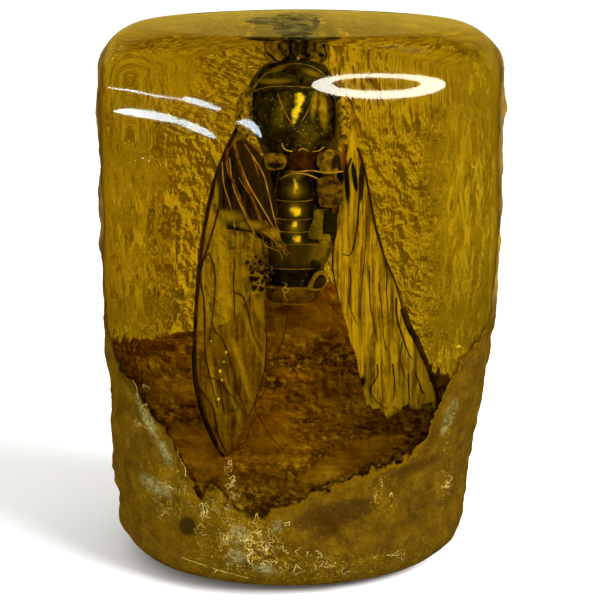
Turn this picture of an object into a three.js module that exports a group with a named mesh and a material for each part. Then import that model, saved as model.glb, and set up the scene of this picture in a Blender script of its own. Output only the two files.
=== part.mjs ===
// A block of amber-coloured casting resin, polished in front and on top and rough all round.
// Millimetres, +Z up, front towards -Y. The origin is the middle of the flat foot.
import * as THREE from "three";

// Driving dimensions, in millimetres
const BLOCK_WIDTH = 54;
const BLOCK_DEPTH = 42;
const BLOCK_HEIGHT = 74.5;
const PLAN_SQUARENESS = 2.2; // 2 is an ellipse, and more is nearer to a rectangle
const TOP_ROUNDING_FRONT = 0.8; // in front and behind
const TOP_ROUNDING_SIDE = 6.5;
const FOOT_ROUNDING = 7;
const TOP_DOME = 1;
const TOP_SLOPE = 0.03; // the top falls this much per millimetre towards the back
const TOP_SLOPE_FROM = 60;
const SIDE_BULGE = 0.5;
const FOOT_DRAW_IN_LEFT = 1.4;
const FOOT_DRAW_IN_RIGHT = 4.2;
const DRAW_IN_TOP = 48;
const LUMP_HEIGHT = 0.55;

// The polished window in front: its lower edge at the middle, and how far the edge climbs at each side
const WINDOW_EDGE_MIDDLE = 9;
const WINDOW_EDGE_CLIMB = 22;
const WINDOW_EDGE_SOFTNESS = 3;
const WINDOW_HALF_ANGLE = THREE.MathUtils.degToRad(78);

// Steps round the block and up each stretch of its outline
const STEPS_ROUND = 60;
const FOOT_RINGS = 3;
const FOOT_ROUNDING_STEPS = 4;
const WALL_STEPS = 14;
const TOP_ROUNDING_STEPS = 5;
const TOP_RINGS = 4;

// One meridian of the block, from under the foot to the top. A station's reach is its share of the plan radius, inset
// the millimetres taken off that, and height its height above the foot. The top's rounding changes round the block, so
// topInset and topDrop are the shares of it that are taken off the radius and off the height.
function meridian() {
  const stations = [];
  for (let i = 1; i <= FOOT_RINGS; i++) {
    const reach = i / FOOT_RINGS;
    stations.push({ reach, inset: reach * FOOT_ROUNDING, height: 0, topInset: 0, topDrop: 0 });
  }
  for (let i = 1; i <= FOOT_ROUNDING_STEPS; i++) {
    const angle = (i / FOOT_ROUNDING_STEPS) * (Math.PI / 2);
    const inset = FOOT_ROUNDING * (1 - Math.sin(angle));
    const height = FOOT_ROUNDING * (1 - Math.cos(angle));
    stations.push({ reach: 1, inset, height, topInset: 0, topDrop: 0 });
  }
  const rim = BLOCK_HEIGHT - TOP_DOME;
  for (let i = 1; i <= WALL_STEPS; i++) {
    const share = i / WALL_STEPS;
    const height = THREE.MathUtils.lerp(FOOT_ROUNDING, rim, share);
    stations.push({ reach: 1, inset: 0, height, topInset: 0, topDrop: share });
  }
  for (let i = 1; i <= TOP_ROUNDING_STEPS; i++) {
    const angle = (i / TOP_ROUNDING_STEPS) * (Math.PI / 2);
    stations.push({ reach: 1, inset: 0, height: rim, topInset: 1 - Math.cos(angle), topDrop: 1 - Math.sin(angle) });
  }
  for (let i = 1; i < TOP_RINGS; i++) {
    const reach = 1 - i / TOP_RINGS;
    stations.push({ reach, inset: 0, height: BLOCK_HEIGHT - TOP_DOME * reach ** 2, topInset: reach, topDrop: 0 });
  }
  return stations;
}

// The top's edge is crisp in front and behind, and well rounded at both sides
function topRounding(angle) {
  return THREE.MathUtils.lerp(TOP_ROUNDING_FRONT, TOP_ROUNDING_SIDE, Math.cos(angle) ** 2);
}

// Distance from the block's axis to its wall in the direction of angle, by the superellipse formula
function planRadius(angle) {
  const across = Math.abs(Math.cos(angle)) / (BLOCK_WIDTH / 2 - SIDE_BULGE);
  const deep = Math.abs(Math.sin(angle)) / (BLOCK_DEPTH / 2 - SIDE_BULGE);
  const sum = across ** PLAN_SQUARENESS + deep ** PLAN_SQUARENESS;
  return sum ** (-1 / PLAN_SQUARENESS);
}

// How low a height is on the tapered part of the wall, from 1 at the foot to 0 at DRAW_IN_TOP
function lowness(height) {
  return 1 - THREE.MathUtils.smoothstep(height, 0, DRAW_IN_TOP);
}

// The wall swells a little at mid height, and draws in at both sides towards the foot
function wallShift(angle, height) {
  const swell = SIDE_BULGE * Math.sin((Math.PI * height) / BLOCK_HEIGHT);
  const drawIn = (FOOT_DRAW_IN_LEFT + FOOT_DRAW_IN_RIGHT) / 2;
  return swell - drawIn * Math.cos(angle) ** 2 * lowness(height);
}

// The foot sits a little to the left of the top, so that the right side leans in more than the left
function lean(height) {
  return (-(FOOT_DRAW_IN_RIGHT - FOOT_DRAW_IN_LEFT) / 2) * lowness(height);
}

// How rough the skin is: 0 on the polished front window, the top and the foot, and 1 on the sides, the back and the
// apron under the window
function roughness(angle, height) {
  const fromFront = Math.acos(THREE.MathUtils.clamp(-Math.sin(angle), -1, 1));
  const round = THREE.MathUtils.smoothstep(fromFront, WINDOW_HALF_ANGLE - 0.15, WINDOW_HALF_ANGLE + 0.15);
  const edge = WINDOW_EDGE_MIDDLE + WINDOW_EDGE_CLIMB * Math.cos(angle) ** 2;
  const under = 1 - THREE.MathUtils.smoothstep(height, edge - WINDOW_EDGE_SOFTNESS, edge + WINDOW_EDGE_SOFTNESS);
  const offFoot = THREE.MathUtils.smoothstep(height, 0, FOOT_ROUNDING);
  const offTop = 1 - THREE.MathUtils.smoothstep(height, BLOCK_HEIGHT - TOP_ROUNDING_SIDE, BLOCK_HEIGHT);
  return Math.max(round, under) * offFoot * offTop;
}

// Low lumps of the skin, as a sum of waves round the block and up it
function lumps(angle, height) {
  const up = (2 * Math.PI * height) / BLOCK_HEIGHT;
  const broad = Math.sin(5 * angle + 2 * up) * Math.cos(3 * up - 2 * angle);
  const fine = Math.sin(11 * angle - 4 * up + 1.3) * Math.cos(6 * up + 3 * angle);
  return LUMP_HEIGHT * (0.6 * broad + 0.4 * fine);
}

function pointOnBlock(station, angle) {
  const height = station.height - station.topDrop * topRounding(angle);
  const inset = station.inset + station.topInset * topRounding(angle);
  const shift = station.reach * wallShift(angle, height);
  const skin = roughness(angle, height) * lumps(angle, height);
  const radius = station.reach * planRadius(angle) - inset + shift + skin;
  const y = radius * Math.sin(angle);
  const fall = TOP_SLOPE * y * THREE.MathUtils.smoothstep(height, TOP_SLOPE_FROM, BLOCK_HEIGHT - TOP_DOME);
  return new THREE.Vector3(radius * Math.cos(angle) + lean(height), y, height - fall);
}

// A closed skin over the meridians: one point under the foot, the rings, and one point on top
function blockGeometry() {
  const stations = meridian();
  const points = [new THREE.Vector3(lean(0), 0, 0)];
  for (const station of stations) {
    for (let i = 0; i < STEPS_ROUND; i++) {
      points.push(pointOnBlock(station, (i / STEPS_ROUND) * 2 * Math.PI));
    }
  }
  points.push(new THREE.Vector3(0, 0, BLOCK_HEIGHT));

  const at = (ring, step) => 1 + ring * STEPS_ROUND + (step % STEPS_ROUND);
  const lastRing = stations.length - 1;
  const topPoint = points.length - 1;
  const faces = [];
  for (let i = 0; i < STEPS_ROUND; i++) {
    faces.push(0, at(0, i + 1), at(0, i));
    for (let ring = 0; ring < lastRing; ring++) {
      faces.push(at(ring, i), at(ring, i + 1), at(ring + 1, i + 1));
      faces.push(at(ring, i), at(ring + 1, i + 1), at(ring + 1, i));
    }
    faces.push(at(lastRing, i), at(lastRing, i + 1), topPoint);
  }
  const geometry = new THREE.BufferGeometry().setFromPoints(points);
  geometry.setIndex(faces);
  geometry.computeVertexNormals();
  return geometry;
}

const resin = new THREE.MeshStandardMaterial({
  color: 0xa87a10,
  roughness: 0.15,
  metalness: 0,
  transparent: true,
  opacity: 0.55,
});

const block = new THREE.Mesh(blockGeometry(), resin);
block.name = "resin_block";

const specimen = new THREE.Group();
specimen.add(block);

export default specimen;
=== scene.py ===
# A cicada cast in an upright block of amber-coloured resin, on a pale floor.
# Blender's metres, +Z up, front towards -Y. The sizes below are millimetres and become metres in makePiece.
import math
import bpy
import numpy as np
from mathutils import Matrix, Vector


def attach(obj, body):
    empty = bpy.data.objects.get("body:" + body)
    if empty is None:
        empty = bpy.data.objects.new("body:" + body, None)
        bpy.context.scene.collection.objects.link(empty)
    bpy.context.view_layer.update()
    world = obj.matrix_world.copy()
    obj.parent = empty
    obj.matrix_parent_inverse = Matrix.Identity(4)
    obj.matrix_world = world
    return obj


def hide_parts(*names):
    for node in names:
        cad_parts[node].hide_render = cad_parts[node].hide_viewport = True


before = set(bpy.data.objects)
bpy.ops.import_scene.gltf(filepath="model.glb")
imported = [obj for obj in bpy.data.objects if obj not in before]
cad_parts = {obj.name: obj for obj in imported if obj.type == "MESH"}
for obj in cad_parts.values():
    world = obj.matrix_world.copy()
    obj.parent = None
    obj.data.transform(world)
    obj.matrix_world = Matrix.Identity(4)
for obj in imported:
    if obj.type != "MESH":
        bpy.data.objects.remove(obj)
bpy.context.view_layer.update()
mm = 0.001


cameraView = {
    "place": (0, -255, 104),
    "lookAt": (0, 0, 35.6),
    "lens": 115.8,
    "sensor": 36,
}


# The camera's -Z points from its place to what it looks at, and its X stays level
def addCamera(view):
    camera = bpy.data.objects.new("camera", bpy.data.cameras.new("camera"))
    camera.data.lens = view["lens"]
    camera.data.sensor_width = view["sensor"]
    camera.data.clip_start = 0.01
    camera.data.clip_end = 20
    place = np.array(view["place"]) * mm
    ahead = np.array(view["lookAt"]) * mm - place
    pitch = math.atan2(ahead[2], math.hypot(ahead[0], ahead[1]))
    heading = math.atan2(-ahead[0], ahead[1])
    camera.location = place
    camera.rotation_euler = (math.pi / 2 + pitch, 0, heading)
    bpy.context.scene.collection.objects.link(camera)
    bpy.context.scene.camera = camera
    print("camera set")


addCamera(cameraView)


# Smooth step from 0 at low to 1 at high, the curve 3t^2 - 2t^3
def smoothStep(value, low, high):
    t = np.clip((value - low) / (high - low), 0, 1)
    return t * t * (3 - 2 * t)


# Noise from -1 to 1: a random number at each corner of a grid of cells, blended smoothly between the eight
# nearest
def cellNoise(points, cell, seed):
    rng = np.random.default_rng(seed)
    order = rng.permutation(1024)
    values = rng.uniform(-1, 1, 1024)
    scaled = points / cell
    corner = np.floor(scaled).astype(int)
    part = scaled - corner
    part = part * part * (3 - 2 * part)
    total = np.zeros(points.shape[:-1])
    for step in np.ndindex(2, 2, 2):
        at = (corner + np.array(step)) & 1023
        pick = order[(order[(order[at[..., 0]] + at[..., 1]) & 1023] + at[..., 2]) & 1023]
        weight = np.prod(np.where(np.array(step) == 1, part, 1 - part), axis=-1)
        total += weight * values[pick]
    return total


# Several layers of cellNoise, each with half the cell and half the strength of the one before, from -1 to 1
def layeredNoise(points, cell, layers, seed):
    total = np.zeros(points.shape[:-1])
    for layer in range(layers):
        total += cellNoise(points, cell / 2 ** layer, seed + layer) / 2 ** layer
    return total / (2 - 2 ** (1 - layers))


# A push along each axis, by a noise of its own
def noisePush(points, cell, layers, seeds):
    return np.stack([layeredNoise(points, cell, layers, seed) for seed in seeds], -1)


# Quads between neighbouring rows and columns of a grid of points, with the last column joined to the first if
# it wraps
def gridQuads(rows, columns, wraps):
    row = np.arange(rows - 1)[:, None]
    column = np.arange(columns if wraps else columns - 1)[None, :]
    beside = (column + 1) % columns
    corners = [row * columns + column, row * columns + beside, (row + 1) * columns + beside,
               (row + 1) * columns + column]
    return np.stack(np.broadcast_arrays(*corners), axis=-1).reshape(-1, 4)


# A mesh object from points in millimetres and faces, with smooth shading and one number per point for each
# attribute
def makePiece(name, points, faces, material, attributes={}):
    mesh = bpy.data.meshes.new(name)
    mesh.from_pydata((np.asarray(points) * mm).tolist(), [], [list(face) for face in faces])
    for title, numbers in attributes.items():
        layer = mesh.attributes.new(title, "FLOAT", "POINT")
        layer.data.foreach_set("value", np.asarray(numbers, dtype=np.float32).ravel())
    mesh.polygons.foreach_set("use_smooth", np.ones(len(mesh.polygons), dtype=bool))
    mesh.materials.append(material)
    mesh.update()
    piece = bpy.data.objects.new(name, mesh)
    bpy.context.scene.collection.objects.link(piece)
    return piece


# A smooth curve through a few points, as count points: a Catmull-Rom spline
def smoothCurve(points, count):
    points = np.asarray(points, float)
    held = np.vstack([2 * points[0] - points[1], points, 2 * points[-1] - points[-2]])
    place = np.linspace(0, len(points) - 1, count)
    span = np.minimum(place.astype(int), len(points) - 2)
    t = (place - span)[:, None]
    a, b, c, d = (held[span + k] for k in range(4))
    return 0.5 * (2 * b + (c - a) * t + (2 * a - 5 * b + 4 * c - d) * t ** 2
                  + (3 * b - a - 3 * c + d) * t ** 3)


# A closed skin over rings of points, with one point closing each end. The volume inside is the sum of the
# tetrahedra from the middle to each face: where it comes out negative, the faces are turned round.
def closedSkin(rings, first=None, last=None):
    rows, columns = rings.shape[:2]
    first = rings[0].mean(0) if first is None else np.asarray(first, float)
    last = rings[-1].mean(0) if last is None else np.asarray(last, float)
    points = np.vstack([first, rings.reshape(-1, 3), last])
    quads = gridQuads(rows, columns, True) + 1
    step = np.arange(columns)
    after = (step + 1) % columns
    end = 1 + (rows - 1) * columns
    startFan = np.stack([0 * step, 1 + after, 1 + step], -1)
    endFan = np.stack([end + step, end + after, 0 * step + len(points) - 1], -1)
    triangles = np.vstack([startFan, endFan, quads[:, [0, 1, 2]], quads[:, [0, 2, 3]]])
    a, b, c = (points[triangles[:, k]] - points.mean(0) for k in range(3))
    if np.einsum("ij,ij->", a, np.cross(b, c)) < 0:
        quads, startFan, endFan = quads[:, ::-1], startFan[:, ::-1], endFan[:, ::-1]
    return points, quads.tolist() + startFan.tolist() + endFan.tolist()


# A round tube along a path: every ring stands square to the path, and its radius may change on the way
def tube(path, radius, sides=8, guide=(0.0, 1.0, 0.0)):
    path = np.asarray(path, float)
    ahead = np.gradient(path, axis=0)
    ahead /= np.linalg.norm(ahead, axis=1, keepdims=True) + 1e-9
    side = np.cross(ahead, np.asarray(guide))
    side /= np.linalg.norm(side, axis=1, keepdims=True) + 1e-9
    other = np.cross(side, ahead)
    turn = np.arange(sides) / sides * 2 * math.pi
    radius = np.broadcast_to(radius, len(path))[:, None, None]
    rings = path[:, None] + radius * (np.cos(turn)[None, :, None] * side[:, None]
                                      + np.sin(turn)[None, :, None] * other[:, None])
    return closedSkin(rings, path[0], path[-1])


# Several shapes as one: their points one after another, and each one's faces counted on from those before
def joinShapes(shapes):
    offsets = np.cumsum([0] + [len(points) for points, _ in shapes[:-1]])
    faces = [[int(i + offset) for i in face] for offset, (_, own) in zip(offsets, shapes) for face in own]
    return np.vstack([points for points, _ in shapes]), faces


# 1 inside an upright oval on the insect's back and 0 outside it, blending over softness, a share of its size
def ovalMark(points, middle, half, softness=0.25, tilt=0.0):
    across, along = points[..., 0] - middle[0], points[..., 2] - middle[1]
    c, s = math.cos(tilt), math.sin(tilt)
    distance = np.hypot((across * c + along * s) / half[0], (along * c - across * s) / half[1])
    return 1 - smoothStep(distance, 1 - softness, 1 + softness)


# The strongest of several ovals at each point
def marks(points, ovals):
    total = np.zeros(len(points))
    for oval in ovals:
        total = np.maximum(total, ovalMark(points, *oval))
    return total


# Every made piece moves with the block and has the record's one finish. A piece that is given no numbers of
# its own has 0 all over for its "mark".
def castPiece(name, shape, finish, **attributes):
    points, faces = shape
    piece = makePiece(name, points, faces, finish, attributes or {"mark": np.zeros(len(points))})
    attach(piece, "root")
    return piece


def newMaterial(name):
    material = bpy.data.materials.new(name)
    material.use_nodes = True
    return material, material.node_tree, material.node_tree.nodes["Principled BSDF"]


# A node with its settings and its inputs: an input is a number, a colour or another node's output
def addNode(tree, kind, inputs={}, **settings):
    made = tree.nodes.new("ShaderNode" + kind)
    for title, value in settings.items():
        setattr(made, title, value)
    for title, value in inputs.items():
        if isinstance(value, bpy.types.NodeSocket):
            tree.links.new(value, made.inputs[title])
        else:
            made.inputs[title].default_value = value
    return made


def mathNode(tree, operation, first, second):
    return addNode(tree, "Math", {0: first, 1: second}, operation=operation).outputs[0]


def plus(tree, first, second):
    return mathNode(tree, "ADD", first, second)


def minus(tree, first, second):
    return mathNode(tree, "SUBTRACT", first, second)


def times(tree, first, second):
    return mathNode(tree, "MULTIPLY", first, second)


def larger(tree, first, second):
    return mathNode(tree, "MAXIMUM", first, second)


# How far a noise lies above or below its middle
def aboutMiddle(tree, noise):
    return minus(tree, noise, 0.5)


# The smooth step from low to high as a node, going from toLow to toHigh
def spread(tree, value, low, high, toLow=0.0, toHigh=1.0):
    inputs = {"Value": value, "From Min": low, "From Max": high, "To Min": toLow, "To Max": toHigh}
    return addNode(tree, "MapRange", inputs, interpolation_type="SMOOTHSTEP").outputs["Result"]


# first where the factor is 0, second where it is 1
def blendNumber(tree, factor, first, second):
    return plus(tree, first, times(tree, factor, minus(tree, second, first)))


# The same for colours, each a triple or another node's output
def blendColour(tree, factor, first, second, kind="MIX"):
    made = addNode(tree, "Mix", {}, data_type="RGBA", blend_type=kind)
    for index, value in ((0, factor), (6, first), (7, second)):
        if isinstance(value, bpy.types.NodeSocket):
            tree.links.new(value, made.inputs[index])
        else:
            made.inputs[index].default_value = value if index == 0 else (*value, 1)
    return made.outputs[2]


# Colours by the places where they stand on a scale, blended in between
def colourRamp(tree, value, stops):
    made = addNode(tree, "ValToRGB", {"Fac": value})
    ramp = made.color_ramp
    ramp.elements[0].position, ramp.elements[1].position = stops[0][0], stops[-1][0]
    for place, _ in stops[1:-1]:
        ramp.elements.new(place)
    for element, (_, colour) in zip(ramp.elements, stops):
        element.color = (*colour, 1)
    return made.outputs["Color"]


# Object coordinates in metres, stretched along each axis by how much longer a pattern is there
def stretchedPlace(tree, stretch=(1, 1, 1), turn=(0, 0, 0)):
    place = addNode(tree, "TexCoord").outputs["Object"]
    scale = tuple(1 / share for share in stretch)
    return addNode(tree, "Mapping", {"Vector": place, "Scale": scale, "Rotation": turn}).outputs["Vector"]


# Noise with features about size millimetres across
def noisePattern(tree, place, size, detail=2.0, rough=0.5, warp=0.0):
    inputs = {"Vector": place, "Scale": 1 / (size * mm), "Detail": detail, "Roughness": rough,
              "Distortion": warp}
    return addNode(tree, "TexNoise", inputs).outputs["Fac"]


def attributeValue(tree, title):
    return addNode(tree, "Attribute", {}, attribute_name=title).outputs["Fac"]


block = {
    "width": 54, "depth": 42, "height": 74.5,
    "planSquareness": 2.2,
    "topRoundingFront": 0.8, "topRoundingSide": 6.5, "footRounding": 7, "topDome": 1,
    "topSlope": 0.03, "topSlopeFrom": 60,
    "sideBulge": 0.5, "drawInLeft": 1.4, "drawInRight": 4.2, "drawInTop": 48,
    "lumpHeight": 1.0, "lumpSize": 8, "nickHeight": 0.65, "ledge": 2.5, "crustProud": 0.15,
    "skinShade": 0.8, "backClearer": 0.45,
    "windowHalfAngle": math.radians(78),
    "stepsRound": 440,
    "footRings": 8, "footSteps": 16, "wallSteps": 150, "topSteps": 24, "topRings": 20,
}


# Share of the plan radius, millimetres taken off it, and height, for each ring from under the foot to the
# top. The last two are the shares of the top's rounding, which changes round the block, that come off the
# radius and the height.
def blockRings(b):
    footShare = np.arange(1, b["footRings"] + 1) / b["footRings"]
    footTurn = np.arange(1, b["footSteps"] + 1) / b["footSteps"] * math.pi / 2
    wallShare = np.arange(1, b["wallSteps"] + 1) / b["wallSteps"]
    topTurn = np.arange(1, b["topSteps"] + 1) / b["topSteps"] * math.pi / 2
    topShare = 1 - np.arange(1, b["topRings"]) / b["topRings"]
    rim = b["height"] - b["topDome"]
    none = np.zeros_like
    reach = np.concatenate([footShare, none(footTurn) + 1, none(wallShare) + 1, none(topTurn) + 1, topShare])
    inset = b["footRounding"] * np.concatenate(
        [footShare, 1 - np.sin(footTurn), none(wallShare), none(topTurn), none(topShare)])
    height = np.concatenate([
        none(footShare),
        b["footRounding"] * (1 - np.cos(footTurn)),
        b["footRounding"] + wallShare * (rim - b["footRounding"]),
        none(topTurn) + rim,
        b["height"] - b["topDome"] * topShare ** 2,
    ])
    topInset = np.concatenate([none(footShare), none(footTurn), none(wallShare), 1 - np.cos(topTurn),
                               topShare])
    topDrop = np.concatenate([none(footShare), none(footTurn), wallShare, 1 - np.sin(topTurn),
                              none(topShare)])
    return tuple(part[:, None] for part in (reach, inset, height, topInset, topDrop))


# The top's edge is crisp in front and behind, and well rounded at both sides
def topRounding(b, angle):
    return b["topRoundingFront"] + (b["topRoundingSide"] - b["topRoundingFront"]) * np.cos(angle) ** 2


# Radius of a superellipse in the direction of angle
def planRadius(b, angle):
    across = np.abs(np.cos(angle)) / (b["width"] / 2 - b["sideBulge"])
    deep = np.abs(np.sin(angle)) / (b["depth"] / 2 - b["sideBulge"])
    return (across ** b["planSquareness"] + deep ** b["planSquareness"]) ** (-1 / b["planSquareness"])


# 0 on the front and the top, and 1 on the sides and the back
def skinShare(b, angle, height):
    fromFront = np.arccos(np.clip(-np.sin(angle), -1, 1))
    offWindow = smoothStep(fromFront, b["windowHalfAngle"] - 0.15, b["windowHalfAngle"] + 0.15)
    return offWindow * (1 - smoothStep(height, b["height"] - b["topRoundingSide"], b["height"] - 1))


# The lower edge of the polished window as x and z on the front, from left to right
windowEdge = {
    "outline": [(-27, 36), (-24, 28.5), (-21, 26), (-17.5, 21.5), (-15.2, 17.5), (-13, 13.6), (-10.5, 15.8),
                (-9.2, 13.4), (-8, 11.6), (-4.5, 11.8), (-2.5, 13.4), (-0.5, 13.6), (2, 14.8), (5, 15.9),
                (9, 17.2), (13, 18.4), (16.2, 20), (17.4, 23), (18.8, 26.5), (21, 30), (24, 32.5), (27, 36)],
    "wobble": 0.7,
    "backHeight": 12,
}


# Millimetres above the window's edge: positive on the polished front, negative on the crust
def aboveEdge(w, point):
    outline = np.array(w["outline"])
    edge = np.interp(point[..., 0], outline[:, 0], outline[:, 1])
    edge = np.where(point[..., 1] < 0, edge, np.maximum(edge, w["backHeight"]))
    return point[..., 2] - edge + w["wobble"] * layeredNoise(point, 2.0, 2, 21)


# A point is the plan radius in its direction, less the ring's inset, swollen at mid height, drawn in at both
# sides near the foot and pushed in or out by the skin's lumps. The axis leans to the left near the foot.
def blockPoint(b, angle, reach, inset, height, topInset, topDrop, lumpy=True):
    height = height - topDrop * topRounding(b, angle)
    inset = inset + topInset * topRounding(b, angle)
    lowness = 1 - smoothStep(height, 0, b["drawInTop"])
    drawIn = (b["drawInLeft"] + b["drawInRight"]) / 2
    shift = b["sideBulge"] * np.sin(math.pi * height / b["height"]) - drawIn * np.cos(angle) ** 2 * lowness
    radius = reach * planRadius(b, angle) - inset + reach * shift
    lean = -(b["drawInRight"] - b["drawInLeft"]) / 2 * lowness
    deep = radius * np.sin(angle)
    upright = height - b["topSlope"] * deep * smoothStep(height, b["topSlopeFrom"],
                                                         b["height"] - b["topDome"])
    point = np.stack(np.broadcast_arrays(radius * np.cos(angle) + lean, deep, upright), -1)
    if lumpy:
        crust = 1 - smoothStep(aboveEdge(windowEdge, point), -b["ledge"], 0)
        rough = np.maximum(skinShare(b, angle, height), crust) * smoothStep(height, 0, b["footRounding"])
        lumps = b["lumpHeight"] * layeredNoise(point, b["lumpSize"], 3, 11)
        lumps = lumps + b["nickHeight"] * layeredNoise(point, 2.6, 3, 15)
        out = rough * lumps + b["crustProud"] * crust * (height > 1)
        point[..., 0] += out * np.cos(angle)
        point[..., 1] += out * np.sin(angle)
    return point


# What the crust carries, as ovals on the front: middle x and z, half sizes, softness and tilt
crustMarks = {
    # the dark chips are smooth facets; their dark is painted shade for the dim inside they would show
    "darkChips": [((-14.8, 9.5), (1.1, 1.5), 0.15, -0.5), ((-5.6, 12.9), (2.6, 0.75), 0.2, 0.05),
                  ((-9.2, 13.4), (0.8, 0.6), 0.4)],
    # the first brown chip is painted shade as well: a darker brown where smooth facets would show the dim
    # inside
    "brownChips": [((4.6, 12.3), (5.6, 1.6), 0.15, 0.2), ((3.4, 9.9), (2.0, 0.9), 0.6, 0.3),
                   ((-15.2, 18.0), (1.0, 3.0), 0.6, 0.3), ((14.8, 17.5), (3.6, 0.8), 0.7, 0.1),
                   ((-6.0, 6.0), (4.0, 1.5), 0.8, 0.2)],
    # pale chips, and painted highlights in the same pale colour on the left ridge and at the right edge
    "paleChipsAndHighlights": [((-2.9, 10.8), (0.75, 0.75), 0.25), ((19.6, 23.4), (0.8, 2.3), 0.3, -0.35),
                  ((-19.0, 14.2), (1.9, 1.0), 0.6, -0.3), ((-20.0, 23.4), (0.7, 2.6), 0.5, 0.4),
                  ((-17.6, 19.2), (0.6, 1.6), 0.5, 0.4), ((-21.6, 27.4), (0.5, 1.6), 0.5, 0.2),
                  ((-8.0, 9.4), (1.3, 1.0), 0.7), ((-8.2, 6.4), (1.0, 0.8), 0.7),
                  ((-4.6, 4.6), (1.2, 0.8), 0.7)],
    "crackled": [((-8.0, 9.5), (5.5, 7.5), 0.7), ((-18.0, 13.5), (3.4, 3.4), 0.7),
                 ((-9.5, 17.5), (1.4, 3.5), 0.6), ((19.4, 15.5), (0.9, 6.0), 0.7),
                 ((-18.4, 21.6), (1.2, 6.5), 0.5, 0.42), ((2.0, 4.0), (14.0, 2.4), 0.9),
                 ((11.0, 14.0), (1.6, 2.6), 0.7)],
}


# Where the head all but breaks through the top: ovals of middle x and y, half sizes, softness and tilt, and
# how dark
headShades = [
    (1.0, [((-4.7, -6.8), (2.0, 3.4), 0.6), ((-0.7, -14.6), (2.4, 5.2), 0.6),
           ((-2.4, -10.0), (1.5, 2.4), 0.6), ((2.0, -8.5), (0.45, 5.0), 0.7)]),
    (0.6, [((-0.5, -3.0), (3.4, 7.0), 0.6)]),
]


# Tones are a place on a noise and the colour there, from dark to light
resinFinish = {
    "ior": 1.54, "absorbed": (0.875, 0.785, 0.03), "density": 145,
    "foilTones": [(0.22, (0.18, 0.13, 0.02)), (0.42, (0.52, 0.46, 0.12)), (0.56, (0.76, 0.71, 0.22)),
                  (0.8, (1.0, 1.0, 0.55))],
    "amberTones": [(0.34, (0.12, 0.062, 0.0)), (0.52, (0.21, 0.114, 0.0)), (0.68, (0.34, 0.20, 0.0))],
    "ochreTones": [(0.34, (0.064, 0.032, 0.0003)), (0.52, (0.104, 0.053, 0.0005)),
                   (0.68, (0.155, 0.085, 0.0015))],
    "hornTones": [(0.40, (0.020, 0.015, 0.004)), (0.64, (0.105, 0.080, 0.018))],
    "crustShadeToRight": (0.60, 0.58, 0.45), "edgeTint": (0.085, 0.043, 0.0006), "gilt": (0.34, 0.225, 0.006),
    "brownChip": (0.050, 0.022, 0.0004), "darkChip": (0.034, 0.018, 0.001), "paleChipAndHighlight": (0.22, 0.20, 0.07),
    # how strong the foil's painted light and shade is on lumps, creases and streaks, and how strong its
    # patches are
    "lumpShading": 7.2, "creaseShading": 10.0, "streakShading": 2.6, "patchRelief": 1.3,
    "litFrom": (0.22 * mm, 0, 0.20 * mm), "riseToRight": 5.0, "middleTone": 0.51,
    "polish": 0.02, "skinRoughness": 0.7, "crustRoughness": 0.55,
    "crustClearness": 0.03, "headClearness": 0.07,
}


# The skin seen through the resin is like hammered foil, its light and shade painted: noise less itself moved
# a little gives each lump and crease a painted lit side and a painted shaded one. Slow patches and a rise to
# the right lie over them, and near the block's sides tall streaks, lit and shaded by paint the same way, take
# their place.
def foilTone(tree, f, nearSide):
    around, upward = (attributeValue(tree, title) for title in ("foilAround", "foilUp"))
    flat = addNode(tree, "CombineXYZ", {"X": around, "Z": upward}).outputs["Vector"]
    moved = addNode(tree, "VectorMath", {0: flat, 1: f["litFrom"]}, operation="ADD").outputs["Vector"]
    lumps = [noisePattern(tree, at, 1.5, detail=4, rough=0.62, warp=0.4) for at in (flat, moved)]
    creases = [noisePattern(tree, at, 4.2, detail=2, rough=0.5, warp=0.8) for at in (flat, moved)]
    tall = [addNode(tree, "Mapping", {"Vector": at, "Scale": (1, 1, 0.16)}).outputs["Vector"]
            for at in (flat, moved)]
    bands = [noisePattern(tree, at, 1.4, detail=3, rough=0.6) for at in tall]
    # painted light and shade: a lit and a shaded side on each crease and lump
    paintedFoldShade = times(tree, minus(tree, *creases), f["creaseShading"])
    paintedLightAndShade = plus(tree, times(tree, minus(tree, *lumps), f["lumpShading"]), paintedFoldShade)
    fading = spread(tree, upward, 38 * mm, 46 * mm, 0.6, 0.22)
    # tall streaks near the sides, with painted light and shade as well
    streaks = times(tree, times(tree, minus(tree, *bands), f["streakShading"]), fading)
    patches = times(tree, aboutMiddle(tree, noisePattern(tree, flat, 8, detail=3)), f["patchRelief"])
    patches = times(tree, patches, spread(tree, nearSide, 0, 1, 1.0, 0.15))
    toRight = plus(tree, times(tree, around, f["riseToRight"]), f["middleTone"])
    tone = plus(tree, blendNumber(tree, nearSide, paintedLightAndShade, streaks), plus(tree, patches, toRight))
    relief = blendNumber(tree, nearSide, plus(tree, lumps[0], creases[0]), times(tree, bands[0], 0.4))
    return tone, relief


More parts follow.
